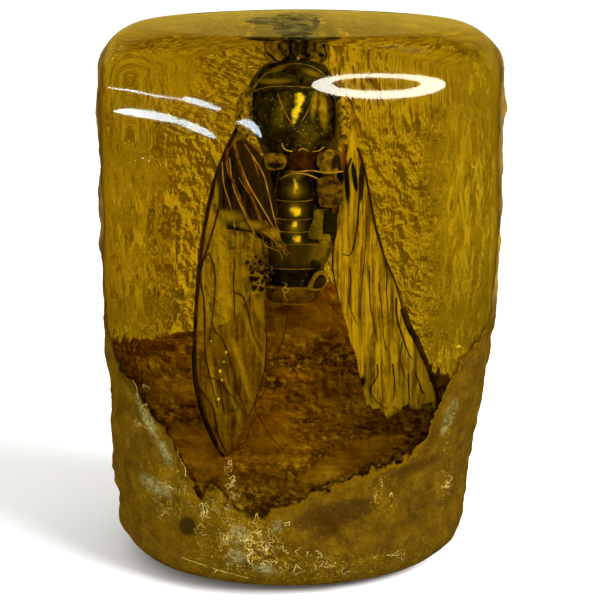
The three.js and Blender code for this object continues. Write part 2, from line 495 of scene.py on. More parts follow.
# The crust's ochre, with painted shade that darkens it towards the right. It carries gilt lines where a noise
# comes near its middle, a painted sparkle of gilt where the finest noise peaks, and the chips.
def crustColour(tree, f, place, mottle):
    ochre = colourRamp(tree, mottle, f["ochreTones"])
    wander = noisePattern(tree, place, 1.5, detail=3, rough=0.75, warp=1.2)
    nearMiddle = mathNode(tree, "ABSOLUTE", aboutMiddle(tree, wander), 0.0)
    crackled = attributeValue(tree, "crackled")
    line = times(tree, spread(tree, nearMiddle, 0.0, 0.025, 1.0, 0.0), crackled)
    grain = noisePattern(tree, place, 0.45, detail=2)
    # painted sparkle: gilt specks where the finest noise peaks
    paintedSparkle = times(tree, spread(tree, grain, 0.61, 0.70), spread(tree, crackled, 0, 1, 0.15, 0.9))
    ochre = blendColour(tree, times(tree, attributeValue(tree, "brownChips"), 0.9), ochre, f["brownChip"])
    ochre = blendColour(tree, larger(tree, line, paintedSparkle), ochre, f["gilt"])
    # pale chips, and painted highlights on the left ridge and at the right
    pale = times(tree, attributeValue(tree, "paleChipsAndHighlights"), spread(tree, wander, 0.42, 0.56, 0.15, 1.0))
    ochre = blendColour(tree, pale, ochre, f["paleChipAndHighlight"])
    # dark chips: painted shade for the dim inside seen through smooth facets
    ochre = blendColour(tree, attributeValue(tree, "darkChips"), ochre, f["darkChip"])
    across = addNode(tree, "SeparateXYZ", {"Vector": place}).outputs["X"]
    # painted shade, darker towards the right
    ochre = blendColour(tree, spread(tree, across, -18 * mm, 20 * mm), ochre, f["crustShadeToRight"], "MULTIPLY")
    return ochre, line


# Clear resin with a skin: rough amber from outside, foil from inside. The crust begins where the height above
# the window's edge, torn by noise, comes near 0. There the resin first takes the crust's tint, then shuts,
# and then turns to ochre. On the top the head's shade covers it in the same way, broken up into ridges.
def castResin(f):
    material, tree, shader = newMaterial("cast_resin")
    skin, nearSide = (attributeValue(tree, title) for title in ("skin", "nearSide"))
    tone, foilRelief = foilTone(tree, f, nearSide)
    foil = colourRamp(tree, tone, f["foilTones"])
    place = stretchedPlace(tree)
    mottle = noisePattern(tree, place, 2.5, detail=6, rough=0.7)
    amber = colourRamp(tree, mottle, f["amberTones"])
    inside = addNode(tree, "NewGeometry").outputs["Backfacing"]
    clear = blendColour(tree, spread(tree, skin, 0.0, 0.4), (1.0, 1.0, 1.0),
                        blendColour(tree, inside, amber, foil))

    torn = aboutMiddle(tree, noisePattern(tree, place, 1.6, detail=5, rough=0.65))
    above = plus(tree, attributeValue(tree, "above"), times(tree, torn, 5.0))
    crust = spread(tree, above, -0.7, 0.2, 1.0, 0.0)
    closed = spread(tree, above, 0.1, 0.9, 1.0, 0.0)
    tint = spread(tree, above, 0.8, 1.9, 1.0, 0.0)
    ochre, line = crustColour(tree, f, place, mottle)
    clear = blendColour(tree, tint, clear, f["edgeTint"])

    ridges = noisePattern(tree, stretchedPlace(tree, stretch=(0.9, 1.5, 1)), 1.3, detail=4, rough=0.65,
                          warp=0.6)
    ridges = times(tree, aboutMiddle(tree, ridges), 4.5)
    shade = times(tree, attributeValue(tree, "headShade"), plus(tree, ridges, 1.0))
    horn = colourRamp(tree, mottle, f["hornTones"])
    clear = blendColour(tree, spread(tree, shade, 0.22, 0.42), clear, horn)
    covered = spread(tree, shade, 0.38, 0.62)
    tree.links.new(blendColour(tree, crust, clear, ochre), shader.inputs["Base Color"])

    # relief in millimetres: hammer marks on the skin, lumps with raised lines on the crust, soft waves
    # elsewhere
    lumpy = plus(tree, times(tree, mottle, 1.2), times(tree, line, 0.12))
    hammered = blendNumber(tree, inside, times(tree, mottle, 1.6), foilRelief)
    ripple = noisePattern(tree, stretchedPlace(tree, stretch=(1, 1, 1.8)), 2.4, detail=2, rough=0.5)
    amount = larger(tree, skin, crust)
    relief = blendNumber(tree, amount, times(tree, ripple, 0.3), blendNumber(tree, crust, hammered, lumpy))
    amount = larger(tree, amount, attributeValue(tree, "wavy"))
    bump = addNode(tree, "Bump", {"Strength": amount, "Distance": 1.0 * mm, "Height": relief})
    tree.links.new(bump.outputs["Normal"], shader.inputs["Normal"])
    skinRough = spread(tree, skin, 0, 1, f["polish"], f["skinRoughness"])
    rough = larger(tree, skinRough, spread(tree, crust, 0.3, 1, f["polish"], f["crustRoughness"]))
    tree.links.new(rough, shader.inputs["Roughness"])
    seeThrough = minus(tree, 1.0, times(tree, closed, 1 - f["crustClearness"]))
    seeThrough = times(tree, attributeValue(tree, "skinClearness"), seeThrough)
    seeThrough = times(tree, seeThrough, minus(tree, 1.0, times(tree, covered, 1 - f["headClearness"])))
    tree.links.new(seeThrough, shader.inputs["Transmission Weight"])
    shader.inputs["IOR"].default_value = f["ior"]
    shader.inputs["Specular IOR Level"].default_value = 0.0
    absorption = addNode(tree, "VolumeAbsorption", {"Color": (*f["absorbed"], 1), "Density": f["density"]})
    tree.links.new(absorption.outputs[0], tree.nodes["Material Output"].inputs["Volume"])
    return material


foilLayout = {
    "lensRadius": 12.6, "packing": 17.6, "backHalfAngle": math.pi * 0.32, "roundTheSides": 24,
    "upStretch": 1.3, "changesAbove": 57, "closerOnLeft": 2.45, "stretchedOnRight": 0.45,
}


# Where the foil's pattern is laid. The thick block magnifies the back wall like a lens, 1/sqrt(1-(x/r)^2)
# towards its sides, so the pattern is packed closer there, by arcsin(x/r). Near the top it is packed closer
# upwards on the left, and stretches into streaks on the right.
def foilPlace(d, angle, points):
    toSide = np.clip(points[..., 0] / d["lensRadius"], -1, 1)
    past = np.clip(d["backHalfAngle"] - np.abs(math.pi / 2 - np.mod(angle, 2 * math.pi)), -6, 0)
    around = d["packing"] * np.where(points[..., 1] > 0, np.arcsin(toSide),
                                     np.sign(points[..., 0]) * math.pi / 2)
    around = around - np.sign(points[..., 0]) * past * d["roundTheSides"] * (np.abs(toSide) > 0.999)
    z = points[..., 2]
    closer = d["closerOnLeft"] * smoothStep(-points[..., 0], 0, 2) - d["stretchedOnRight"]
    upward = z / d["upStretch"] + closer * np.clip(z - d["changesAbove"], 0, None)
    return around * mm, upward * mm


# The rings' numbers, with one more at each end for the points that close the block
def capped(numbers):
    return np.concatenate([numbers[0, :1], numbers.ravel(), numbers[-1, :1]])


# The polished front's waves: none near the top but for the right corner, and faint ones on the top itself
def wavesOn(fromFront, rings):
    x, z = rings[..., 0], rings[..., 2]
    calm = smoothStep(z - 5 * (x > 0), 57, 60.5)
    corner = smoothStep(x, 19.2, 20.8) * (1 - smoothStep(z, 69, 72))
    waves = smoothStep(fromFront, 0.6, 1.05) * np.maximum(1 - calm, corner)
    return np.maximum(waves, 0.12 * smoothStep(z, 73.0, 73.5))


def makeBlock(b):
    angle = np.arange(b["stepsRound"])[None, :] / b["stepsRound"] * 2 * math.pi
    rings = blockPoint(b, angle, *blockRings(b))
    foot = [-(b["drawInRight"] - b["drawInLeft"]) / 2, 0, 0]
    points, faces = closedSkin(rings, foot, [0, 0, b["height"]])
    skin = skinShare(b, angle, rings[..., 2])
    skinShade = b["skinShade"] - b["backClearer"] * smoothStep(rings[..., 1], 2, 12)
    fromFront = np.arccos(np.clip(-np.sin(angle), -1, 1)) + 0 * skin
    around, upward = foilPlace(foilLayout, angle, rings)
    toSide = np.abs(rings[..., 0])
    highSide = smoothStep(toSide, 7.0, 10.0) * smoothStep(rings[..., 2], 57, 63)
    attributes = {
        "skin": capped(skin),
        "skinClearness": capped(1 - smoothStep(skin, 0.3, 1.0) * skinShade),
        "above": capped(np.clip(aboveEdge(windowEdge, rings), -8, 8)),
        "wavy": capped(wavesOn(fromFront, rings)),
        "nearSide": capped(np.maximum(smoothStep(toSide, 10.2, 12.2), highSide)),
        "foilAround": capped(around),
        "foilUp": capped(upward),
    }
    for title, ovals in crustMarks.items():
        attributes[title] = marks(points, ovals) * (points[:, 1] < 0)
    fromAbove = points[:, [0, 2, 1]]
    shades = [dark * marks(fromAbove, ovals) for dark, ovals in headShades]
    attributes["headShade"] = smoothStep(points[:, 2], 72.5, 73.5) * np.max(shades, 0)
    piece = castPiece("cast_block", (points, faces), castResin(resinFinish), **attributes)
    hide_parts("resin_block")
    print("resin block made,", len(piece.data.polygons), "faces")


makeBlock(block)


# The angle round the block and the height of the front's point at x and z. The table gives the angle for each
# x at one height; then both aims are corrected by what they miss, four times.
def frontAngle(b, x, z, lumpy):
    angles = np.radians(np.linspace(-178, -2, 1400))
    across = blockPoint(b, angles, 1, 0, 66.0, 0, 0, lumpy=False)[:, 0]
    aimX, aimZ = np.asarray(x, float), np.asarray(z, float)
    for _ in range(4):
        angle = np.interp(aimX, across, angles)
        place = blockPoint(b, angle, 1, footInset(b, aimZ), aimZ, 0, 0, lumpy)
        aimX, aimZ = aimX + x - place[..., 0], aimZ + z - place[..., 2]
    return angle, aimZ


# What the rounding at the foot takes off the radius: a quarter circle
def footInset(b, z):
    return b["footRounding"] - np.sqrt(b["footRounding"] ** 2 - np.clip(b["footRounding"] - z, 0, None) ** 2)


# The point on the polished front at x and z, and the way it faces: the cross product of a small step round
# and a small step up
def frontPoint(b, x, z):
    angle, height = frontAngle(b, x, z, False)
    place = blockPoint(b, angle, 1, 0, height, 0, 0, lumpy=False)
    sideways = blockPoint(b, angle + 1e-3, 1, 0, height, 0, 0, lumpy=False) - place
    upward = blockPoint(b, angle, 1, 0, height + 0.02, 0, 0, lumpy=False) - place
    facing = np.cross(sideways, upward)
    return place, facing / np.linalg.norm(facing, axis=-1, keepdims=True)


# Thin pale curls on the crust: zones with a middle x and z, half sizes and how many, and three longer ridges
crackle = {
    "zones": [((-6.5, 8.0), (6.5, 4.6), 60), ((-17.5, 12.5), (3.0, 2.6), 14), ((-9.0, 17.0), (1.1, 3.0), 9),
              ((-11.5, 12.6), (3.0, 0.9), 12), ((11.0, 14.0), (1.5, 2.4), 3), ((2.0, 5.0), (13.0, 2.2), 16),
              ((19.3, 14.5), (0.5, 4.0), 4), ((-20.3, 24.0), (1.4, 3.6), 9)],
    "size": (0.2, 0.8), "radius": (0.018, 0.045), "ridgeRadius": 0.05,
    "ridges": [[(-22.0, 28.1), (-21.0, 25.6), (-19.4, 21.9), (-17.1, 19.0)],
               [(-16.0, 19.9), (-15.3, 18.2), (-15.0, 16.5)], [(-15.9, 4.7), (-11.2, 3.8), (-6.6, 2.8)]],
}


# A curl is part of a circle whose radius is drawn in and out by two sine waves, laid on the skin
def makeCrackle(c, b):
    rng = np.random.default_rng(71)
    paths, radii = [], []
    for middle, half, count in c["zones"]:
        for _ in range(count):
            turn = np.linspace(0, rng.uniform(1.5, 6.0), 30) + rng.uniform(0, 6.3)
            wave = 1 + 0.35 * np.sin(3 * turn + rng.uniform(0, 6))
            wave = wave + 0.25 * np.sin(7 * turn + rng.uniform(0, 6))
            size = rng.uniform(*c["size"])
            spot = np.array(middle) + np.array(half) * np.clip(rng.normal(0, 0.5, 2), -1, 1)
            across = spot[0] + size * wave * np.cos(turn) * rng.uniform(0.5, 1.3)
            paths.append(np.stack([across, spot[1] + size * wave * np.sin(turn)], -1))
            radii.append(rng.uniform(*c["radius"]))
    for ridge in c["ridges"]:
        curve = smoothCurve(ridge, 60)
        curve[:, 0] += 0.2 * np.sin(1.9 * curve[:, 1])
        paths.append(curve)
        radii.append(c["ridgeRadius"])
    shapes = []
    for path, radius in zip(paths, radii):
        path[:, 1] = np.clip(path[:, 1], 1.2, None)
        angle, height = frontAngle(b, path[:, 0], path[:, 1], True)
        shapes.append(tube(blockPoint(b, angle, 1, footInset(b, height), height, 0, 0, True), radius, 6))
    castPiece("crust_crackle", joinShapes(shapes), hornySkin("crackle_skin"))
    print("crackle made,", len(paths), "curls")


# Every horny finish: its dark and light tones, the gold of its marks (on the back plate and the keel a
# painted highlight) and its sheen, how glossy and how patchy it is
plainHorn = {"marked": (0.5, 0.35, 0.05), "gloss": 0.3, "patch": 1.6, "sheen": None, "specks": 0.0}
horns = {
    "crackle_skin": {"dark": (0.14, 0.085, 0.006), "light": (0.50, 0.38, 0.11), "patch": 1.2},
    "mesonotum_skin": {"dark": (0.006, 0.005, 0.004), "light": (0.022, 0.018, 0.008),
                       "marked": (1.0, 0.92, 0.22), "gloss": 0.2, "patch": 0.8,
                       "sheen": (0.32, 0.245, 0.04), "specks": 0.9},
    "thorax_side_skin": {"dark": (0.03, 0.02, 0.008), "light": (0.09, 0.06, 0.015), "gloss": 0.4},
    "side_plate_skin": {"dark": (0.008, 0.005, 0.002), "light": (0.52, 0.37, 0.07), "patch": 0.5},
    "pronotum_skin": {"dark": (0.006, 0.005, 0.004), "light": (0.05, 0.04, 0.012),
                      "marked": (0.24, 0.18, 0.035), "gloss": 0.25, "patch": 0.9, "specks": 0.7},
    "head_skin": {"dark": (0.006, 0.005, 0.003), "light": (0.28, 0.20, 0.04), "gloss": 0.2, "patch": 0.8},
    "eye_skin": {"dark": (0.005, 0.004, 0.002), "light": (0.42, 0.30, 0.045), "gloss": 0.1, "patch": 0.8},
    "face_line_skin": {"dark": (0.004, 0.003, 0.002), "light": (0.02, 0.015, 0.006)},
    "crown_skin": {"dark": (0.012, 0.011, 0.008), "light": (0.09, 0.085, 0.05), "marked": (0.95, 0.62, 0.02)},
    "ocellus_skin": {"dark": (0.7, 0.5, 0.2), "light": (0.9, 0.75, 0.4), "gloss": 0.1},
    "rim_skin": {"dark": (0.16, 0.12, 0.02), "light": (0.45, 0.34, 0.07), "patch": 1.0},
    "arm_skin": {"dark": (0.05, 0.025, 0.008), "light": (0.20, 0.10, 0.02)},
    "scutellum_skin": {"dark": (0.012, 0.004, 0.002), "light": (0.075, 0.024, 0.005), "patch": 0.9},
    "amber_boss_skin": {"dark": (0.035, 0.018, 0.005), "light": (0.38, 0.26, 0.05),
                        "marked": (0.012, 0.008, 0.004), "gloss": 0.2, "patch": 0.8},
    "pale_rim_skin": {"dark": (0.30, 0.20, 0.06), "light": (0.70, 0.55, 0.20), "gloss": 0.2},
    "black_belt_skin": {"dark": (0.005, 0.004, 0.003), "light": (0.022, 0.016, 0.007), "gloss": 0.16,
                        "patch": 1.2, "specks": 0.7},
    "olive_belt_skin": {"dark": (0.018, 0.012, 0.004), "light": (0.06, 0.043, 0.010), "gloss": 0.24,
                        "patch": 2.0, "sheen": (0.30, 0.22, 0.035)},
    "jet_belt_skin": {"dark": (0.002, 0.002, 0.001), "light": (0.007, 0.005, 0.003), "gloss": 0.14,
                      "specks": 0.3},
    "brown_belt_skin": {"dark": (0.05, 0.028, 0.007), "light": (0.17, 0.105, 0.020), "patch": 1.4},
    "keel_plate_skin": {"dark": (0.006, 0.005, 0.003), "light": (0.020, 0.016, 0.006),
                        "marked": (1.0, 0.85, 0.16), "gloss": 0.14, "sheen": (0.26, 0.20, 0.03)},
    "hem_skin": {"dark": (0.16, 0.11, 0.03), "light": (0.50, 0.36, 0.12), "patch": 0.7},
    "dark_vein_skin": {"dark": (0.010, 0.005, 0.003), "light": (0.055, 0.022, 0.008), "patch": 2.0},
    "pale_vein_skin": {"dark": (0.34, 0.19, 0.08), "light": (0.85, 0.58, 0.30), "gloss": 0.25},
    "rib_skin": {"dark": (0.07, 0.028, 0.006), "light": (0.30, 0.15, 0.03), "gloss": 0.25, "patch": 0.9},
    "long_hair_skin": {"dark": (0.012, 0.006, 0.003), "light": (0.06, 0.025, 0.008), "gloss": 0.25},
    "pale_loops_skin": {"dark": (0.25, 0.18, 0.06), "light": (0.6, 0.5, 0.22), "gloss": 0.25},
    "fibre_skin": {"dark": (0.14, 0.08, 0.015), "light": (0.6, 0.42, 0.10), "patch": 0.8},
    "black_crumbs_skin": {"dark": (0.003, 0.003, 0.002), "light": (0.02, 0.015, 0.007), "patch": 0.5},
    "crumb_rims_skin": {"dark": (0.05, 0.03, 0.008), "light": (0.40, 0.28, 0.08), "patch": 0.5},
    "glint_fleck_skin": {"dark": (0.9, 0.75, 0.15), "light": (1.0, 0.95, 0.4)},
    "bubble_skin": {"dark": (0.5, 0.26, 0.01), "light": (0.95, 0.62, 0.04)},
}


# Horny skin: two tones mixed by noise, a gold one where the "mark" attribute is 1 (on some pieces a painted
# highlight), a sheen where "sheen" is 1, pale specks where the finest noise peaks, and fine pits in the gloss
def hornySkin(name, tones={}):
    h = {**plainHorn, **horns.get(name, {}), **tones}
    material, tree, shader = newMaterial(name)
    place = stretchedPlace(tree)
    cloud = noisePattern(tree, place, h["patch"], detail=4, rough=0.6)
    colour = colourRamp(tree, cloud, [(0.38, h["dark"]), (0.62, h["light"])])
    speckle = noisePattern(tree, place, 0.3, detail=2)
    if h["sheen"]:
        share = times(tree, attributeValue(tree, "sheen"), spread(tree, cloud, 0.25, 0.6, 0.35, 1.0))
        colour = blendColour(tree, share, colour, h["sheen"])
    share = times(tree, attributeValue(tree, "mark"), spread(tree, speckle, 0.25, 0.45, 0.6, 1.0))
    colour = blendColour(tree, share, colour, h["marked"])
    if h["specks"]:
        frost = spread(tree, noisePattern(tree, place, 0.22, detail=2), 0.64, 0.72)
        frost = times(tree, frost, spread(tree, cloud, 0.42, 0.58, 0, h["specks"]))
        colour = blendColour(tree, frost, colour, (0.62, 0.55, 0.28))
    tree.links.new(colour, shader.inputs["Base Color"])
    tree.links.new(spread(tree, cloud, 0.3, 0.7, h["gloss"], h["gloss"] + 0.15), shader.inputs["Roughness"])
    shader.inputs["Specular IOR Level"].default_value = 0.07
    bump = addNode(tree, "Bump", {"Strength": 0.5, "Distance": 0.08 * mm, "Height": speckle})
    tree.links.new(bump.outputs["Normal"], shader.inputs["Normal"])
    return material


makeCrackle(crackle, block)


# A closed oval body along the insect's length. Each station is height, middle x, half width, back y and belly
# y; the widest level lies between back and belly, and squareness above 2 fills out the oval's corners.
def ovalBody(stations, rows=60, columns=64, squareness=2.0):
    z, middle, half, back, belly = smoothCurve(stations, rows).T[:, :, None]
    half = np.maximum(half, 0.05)
    turn = np.arange(columns)[None, :] / columns * 2 * math.pi
    c, s = np.cos(turn), np.sin(turn)
    c = np.sign(c) * np.abs(c) ** (2 / squareness)
    s = np.sign(s) * np.abs(s) ** (2 / squareness)
    level = back + 0.62 * (belly - back)
    y = np.where(s > 0, level - s * (level - back), level - s * (belly - level))
    rings = np.stack(np.broadcast_arrays(middle + half * c, y, z), -1)
    return closedSkin(rings)


thorax = {
    "mesonotum": [(67.2, -0.8, 0.6, -7.6, -6.0), (66.9, -0.8, 3.4, -8.6, -5.2), (66.0, -0.8, 4.6, -9.4, -4.6),
                  (64.0, -0.75, 4.85, -10.0, -4.2), (62.0, -0.7, 4.75, -10.1, -4.2),
                  (60.0, -0.5, 4.4, -9.7, -4.4), (58.6, -0.3, 3.6, -9.2, -4.8),
                  (58.0, -0.2, 2.2, -8.6, -5.4), (57.8, 0.0, 0.4, -8.0, -6.2)],
    "underside": [(68.6, -0.6, 1.0, -5.0, -3.0), (68, -0.6, 3.4, -6.0, 0.5), (65, -0.6, 4.7, -6.4, 3.2),
                  (61, -0.4, 4.8, -6.6, 4.0), (57.5, 0, 4.2, -6.4, 3.4), (55.4, 0, 3.2, -6.0, 2.2),
                  (54.8, 0, 0.8, -4.5, -1.0)],
    "pronotum": [(70.6, -0.5, 0.5, -7.4, -6.0), (70.3, -0.5, 1.8, -8.4, -5.0),
                 (69.4, -0.6, 3.4, -8.9, -4.2), (68.2, -0.75, 4.3, -9.2, -4.0),
                 (67.0, -0.8, 4.9, -9.3, -4.0), (66.4, -0.8, 4.6, -9.0, -4.4), (66.2, -0.8, 1.0, -8.0, -6.0)],
    "headCone": [(73.4, 0.0, 0.15, -7.4, -6.8), (72.6, -0.05, 0.35, -7.8, -6.2),
                 (71.2, -0.1, 0.7, -8.2, -5.4), (70.2, -0.2, 1.4, -8.2, -4.8), (69.8, -0.3, 0.5, -7.6, -6.0)],
    "brow": [(72.8, -0.3, 0.5, -6.4, -4.2), (72.5, -0.3, 2.4, -7.0, -3.0), (71.8, -0.3, 3.2, -7.0, -2.0),
             (70.6, -0.4, 3.2, -7.0, -2.2), (70.0, -0.4, 0.8, -6.4, -4.6)],
    "eyeLeft": ((-2.7, -7.5, 71.3), (1.6, 1.2, 1.6)),
    "eyeRight": ((2.1, -7.4, 71.2), (1.35, 1.1, 1.6)),
    "ocelli": [((-0.2, -8.5, 70.4), 0.2)],
    "antennae": [[(-1.2, -8.0, 71.9), (-2.0, -8.4, 72.5), (-3.1, -8.4, 72.7), (-4.4, -8.0, 72.2),
                  (-5.2, -7.6, 71.2)],
                 [(0.9, -8.0, 71.9), (1.8, -8.4, 72.5), (2.9, -8.4, 72.4), (3.9, -8.0, 71.6),
                  (4.4, -7.6, 70.6)]],
    "faceLines": [[(-2.2, -8.6, 69.9), (-3.3, -8.6, 70.6), (-4.0, -8.4, 71.6), (-3.7, -8.3, 72.8)],
                  [(-1.3, -8.8, 70.3), (-2.2, -8.9, 71.1), (-2.5, -8.8, 72.0), (-2.2, -8.6, 72.9)],
                  [(-0.3, -8.9, 70.4), (-1.0, -8.9, 71.3), (-1.2, -8.8, 72.9)],
                  [(0.1, -8.9, 70.4), (0.7, -8.9, 71.3), (0.8, -8.8, 72.9)],
                  [(1.0, -8.8, 70.2), (1.7, -8.8, 71.0), (1.6, -8.7, 72.0), (2.2, -8.5, 72.8)],
                  [(2.3, -8.6, 69.8), (3.1, -8.6, 70.8), (2.8, -8.4, 72.0), (3.1, -8.2, 72.8)]],
    "faceWedge": [(-0.3, -8.7, 72.9), (-0.25, -8.9, 72.0), (-0.2, -8.9, 70.7)],
    "glints": [((-0.05, 65.2), (0.42, 0.95), 0.3), ((-0.5, 63.6), (0.26, 1.35), 0.3, -0.3)],
    "glintGap": [((0.12, 64.4), (0.16, 0.2), 0.3)],
    "oliveStreaks": [((1.7, 64.9), (0.30, 1.6), 0.7, -0.1), ((2.7, 63.9), (0.42, 2.1), 0.6, 0.08)],
    "oliveClouds": [((-2.2, 64.0), (0.7, 2.0), 0.8, -0.2), ((0.9, 60.6), (0.9, 1.3), 0.9)],
    "pronotumBands": [((-3.1, 67.55), (1.8, 0.32), 0.5, 0.05), ((1.4, 68.6), (1.0, 0.3), 0.6, -0.4),
                      ((-2.6, 69.0), (1.0, 0.2), 0.6, 0.4)],
    # the crown's outline as x and y, just under the block's top
    "crown": {"outline": [(-1.6, -19.0), (-1.3, -14.5), (-2.6, -9.0), (-6.0, -6.0), (-6.2, 0.0),
                          (-3.4, 3.5), (0.0, 7.5), (3.2, 8.5), (3.5, 2.0), (2.4, -4.0), (3.3, -9.0),
                          (2.0, -14.5), (2.0, -19.0), (0.2, -19.6)], "middle": (-0.8, -6.0), "height": 73.0,
              "slope": 0.03, "thickness": 0.5},
    "sidePlates": [[(66.4, -5.8, 0.2, -7.6, -6.4), (65.6, -6.0, 0.8, -8.0, -5.8),
                    (63.4, -6.2, 1.15, -8.2, -5.4), (61.4, -6.3, 0.9, -8.0, -5.8),
                    (59.8, -6.4, 0.2, -7.6, -6.4)],
                   [(66.4, 4.6, 0.2, -7.6, -6.4), (65.6, 4.7, 0.8, -8.2, -5.8),
                    (63.0, 5.0, 1.0, -8.5, -5.2), (60.4, 4.9, 0.9, -8.3, -5.4),
                    (59.2, 4.6, 0.2, -7.6, -6.4)]],
    "rims": [[(-5.4, 66.6), (-4.9, 67.4), (-4.0, 68.5), (-2.6, 69.4), (-0.8, 69.8), (1.0, 69.6),
              (2.4, 68.8), (3.3, 67.8)],
             [(-5.3, 66.3), (-3.6, 66.9), (-1.6, 67.0), (0.4, 66.9), (2.4, 66.7)],
             [(-2.6, 66.1), (-2.2, 64.8), (-1.6, 63.4), (-0.95, 62.3)],
             [(1.6, 66.2), (1.3, 64.9), (0.8, 63.6), (0.2, 62.6)]],
    "arms": [[(-5.0, -8.4, 67.2), (-5.9, -8.0, 65.8), (-6.8, -7.4, 64.4), (-7.2, -6.8, 62.6)],
             [(3.6, -8.4, 67.4), (4.6, -8.0, 66.4), (5.7, -7.4, 65.0), (6.2, -6.8, 63.2)]],
}


# A closed ball: rings of latitude with half sizes along x, y and z
def ovalBall(middle, half, rows=24, columns=32):
    lift = np.linspace(0, math.pi, rows + 2)[1:-1, None]
    turn = np.arange(columns)[None, :] / columns * 2 * math.pi
    rings = np.stack(np.broadcast_arrays(np.sin(lift) * np.cos(turn), np.sin(lift) * np.sin(turn),
                                         np.cos(lift)), -1)
    top, foot = np.array([0, 0, half[2]]) + middle, np.array([0, 0, -half[2]]) + middle
    return closedSkin(rings * half + middle, top, foot)


# A flat lens over a closed outline of x and y: each ring is the outline drawn in towards the middle by the
# sine of a quarter turn, and its height follows the cosine
def flatCrown(c):
    outline = smoothCurve(c["outline"] + c["outline"][:1], 121)[:-1]
    flat = np.stack([outline[:, 0], outline[:, 1], 0 * outline[:, 0]], -1)
    outline = outline + 0.25 * noisePush(flat, 1.2, 2, (34, 35))
    lift = np.linspace(0, math.pi, 16)[1:-1, None]
    plan = np.array(c["middle"]) + np.sin(lift)[..., None] * (outline[None] - np.array(c["middle"]))
    z = c["height"] - c["slope"] * plan[..., 1] + c["thickness"] / 2 * np.cos(lift)
    return closedSkin(np.concatenate([plan, z[..., None]], -1))


# The back plate: an oval body with two furrows and a rough left side, gold glints and olive streaks
def makeMesonotum(t):
    points, faces = ovalBody(t["mesonotum"], 110, 128, 2.3)
    x, z = points[:, 0] + 0.5, points[:, 2]
    furrowAt = 0.45 + (z - 62) * 0.42  # they run together towards the tail
    furrow = np.exp(-((np.abs(x) - np.abs(furrowAt)) / 0.16) ** 2) * smoothStep(z, 61.2, 62.4)
    rough = 0.10 * layeredNoise(points, 0.5, 3, 31) * smoothStep(-points[:, 0], 0.6, 2.4)
    rough = rough + 0.03 * layeredNoise(points, 0.6, 2, 32)
    points[:, 1] += np.where(points[:, 1] < -6, 0.3 * furrow + rough, 0)
    ragged = points + 0.3 * noisePush(points, 0.6, 2, (26, 27, 28))
    glint = marks(ragged, t["glints"]) * (1 - marks(points, t["glintGap"]))
    olive = np.maximum(marks(points, t["oliveStreaks"]), 0.3 * marks(points, t["oliveClouds"]))
    castPiece("mesonotum", (points, faces), hornySkin("mesonotum_skin"), mark=glint,
              sheen=olive * (1 - glint))


# The head's front is drawn in broken lines: tubes whose paths and radii are shifted by noise, and one wedge
def faceShapes(t):
    shapes = []
    for path in t["faceLines"]:
        curve = smoothCurve(path, 60)
        curve = curve + 0.28 * noisePush(curve, 0.9, 3, (61, 62, 63))
        shapes.append(tube(curve, 0.11 + 0.16 * np.clip(layeredNoise(curve, 0.7, 2, 64), -0.5, 1), 8))
    shapes.append(tube(smoothCurve(t["faceWedge"], 30), np.linspace(0.6, 0.06, 30) ** 1.3, 10))
    return shapes


# Two oval bodies for the head, two uneven balls for the eyes, the lines in front and the crown over them
def makeHead(t):
    cone, brow = ovalBody(t["headCone"], 40, 36), ovalBody(t["brow"], 40, 56, 2.2)
    castPiece("head", joinShapes([cone, brow]), hornySkin("head_skin"))
    points, faces = joinShapes([ovalBall(*t["eyeLeft"]), ovalBall(*t["eyeRight"])])
    points = points + 0.35 * noisePush(points, 1.1, 2, (37, 38, 39))
    castPiece("eyes", (points, faces), hornySkin("eye_skin"))
    castPiece("face_lines", joinShapes(faceShapes(t)), hornySkin("face_line_skin"))
    points, faces = flatCrown(t["crown"])
    gleam = smoothStep(points[:, 0], 2.2, 2.9) * smoothStep(layeredNoise(points, 1.4, 2, 36), -0.1, 0.2)
    castPiece("head_crown", (points, faces), hornySkin("crown_skin"), mark=gleam * (points[:, 1] < 0))
    balls = [ovalBall(middle, (half, half, half), 12, 16) for middle, half in t["ocelli"]]
    castPiece("ocelli", joinShapes(balls), hornySkin("ocellus_skin"))


# Pale rims lie on the back plate's face, whose y is a bowl in x and rises above z = 63
def rimTube(path):
    curve = smoothCurve(path, 60)
    back = -10.15 + 0.045 * (curve[:, 0] + 0.8) ** 2 + 0.055 * np.clip(curve[:, 1] - 63, 0, None) ** 1.4
    return tube(np.stack([curve[:, 0], back, curve[:, 1]], -1), 0.05, 8)


def makeThorax(t):
    makeMesonotum(t)
    castPiece("thorax_underside", ovalBody(t["underside"], 60, 64, 2.3), hornySkin("thorax_side_skin"))
    plates = joinShapes([ovalBody(plate, 36, 28) for plate in t["sidePlates"]])
    castPiece("side_plates", plates, hornySkin("side_plate_skin"))
    points, faces = ovalBody(t["pronotum"], 60, 96, 2.2)
    points[:, 1] += 0.16 * layeredNoise(points, 0.9, 3, 33) + 0.10 * np.sin(5.0 * points[:, 2])
    castPiece("pronotum", (points, faces), hornySkin("pronotum_skin"), mark=marks(points, t["pronotumBands"]))
    makeHead(t)
    castPiece("thorax_rims", joinShapes([rimTube(path) for path in t["rims"]]), hornySkin("rim_skin"))
    share = np.linspace(0, 1, 40)
    shapes = [tube(smoothCurve(path, 40), 0.20 - 0.1 * share, 8) for path in t["arms"]]
    shapes += [tube(smoothCurve(path, 40), 0.09 - 0.06 * share, 8) for path in t["antennae"]]
    castPiece("collar_arms_and_antennae", joinShapes(shapes), hornySkin("arm_skin"))
    print("thorax and head made")


makeThorax(thorax)


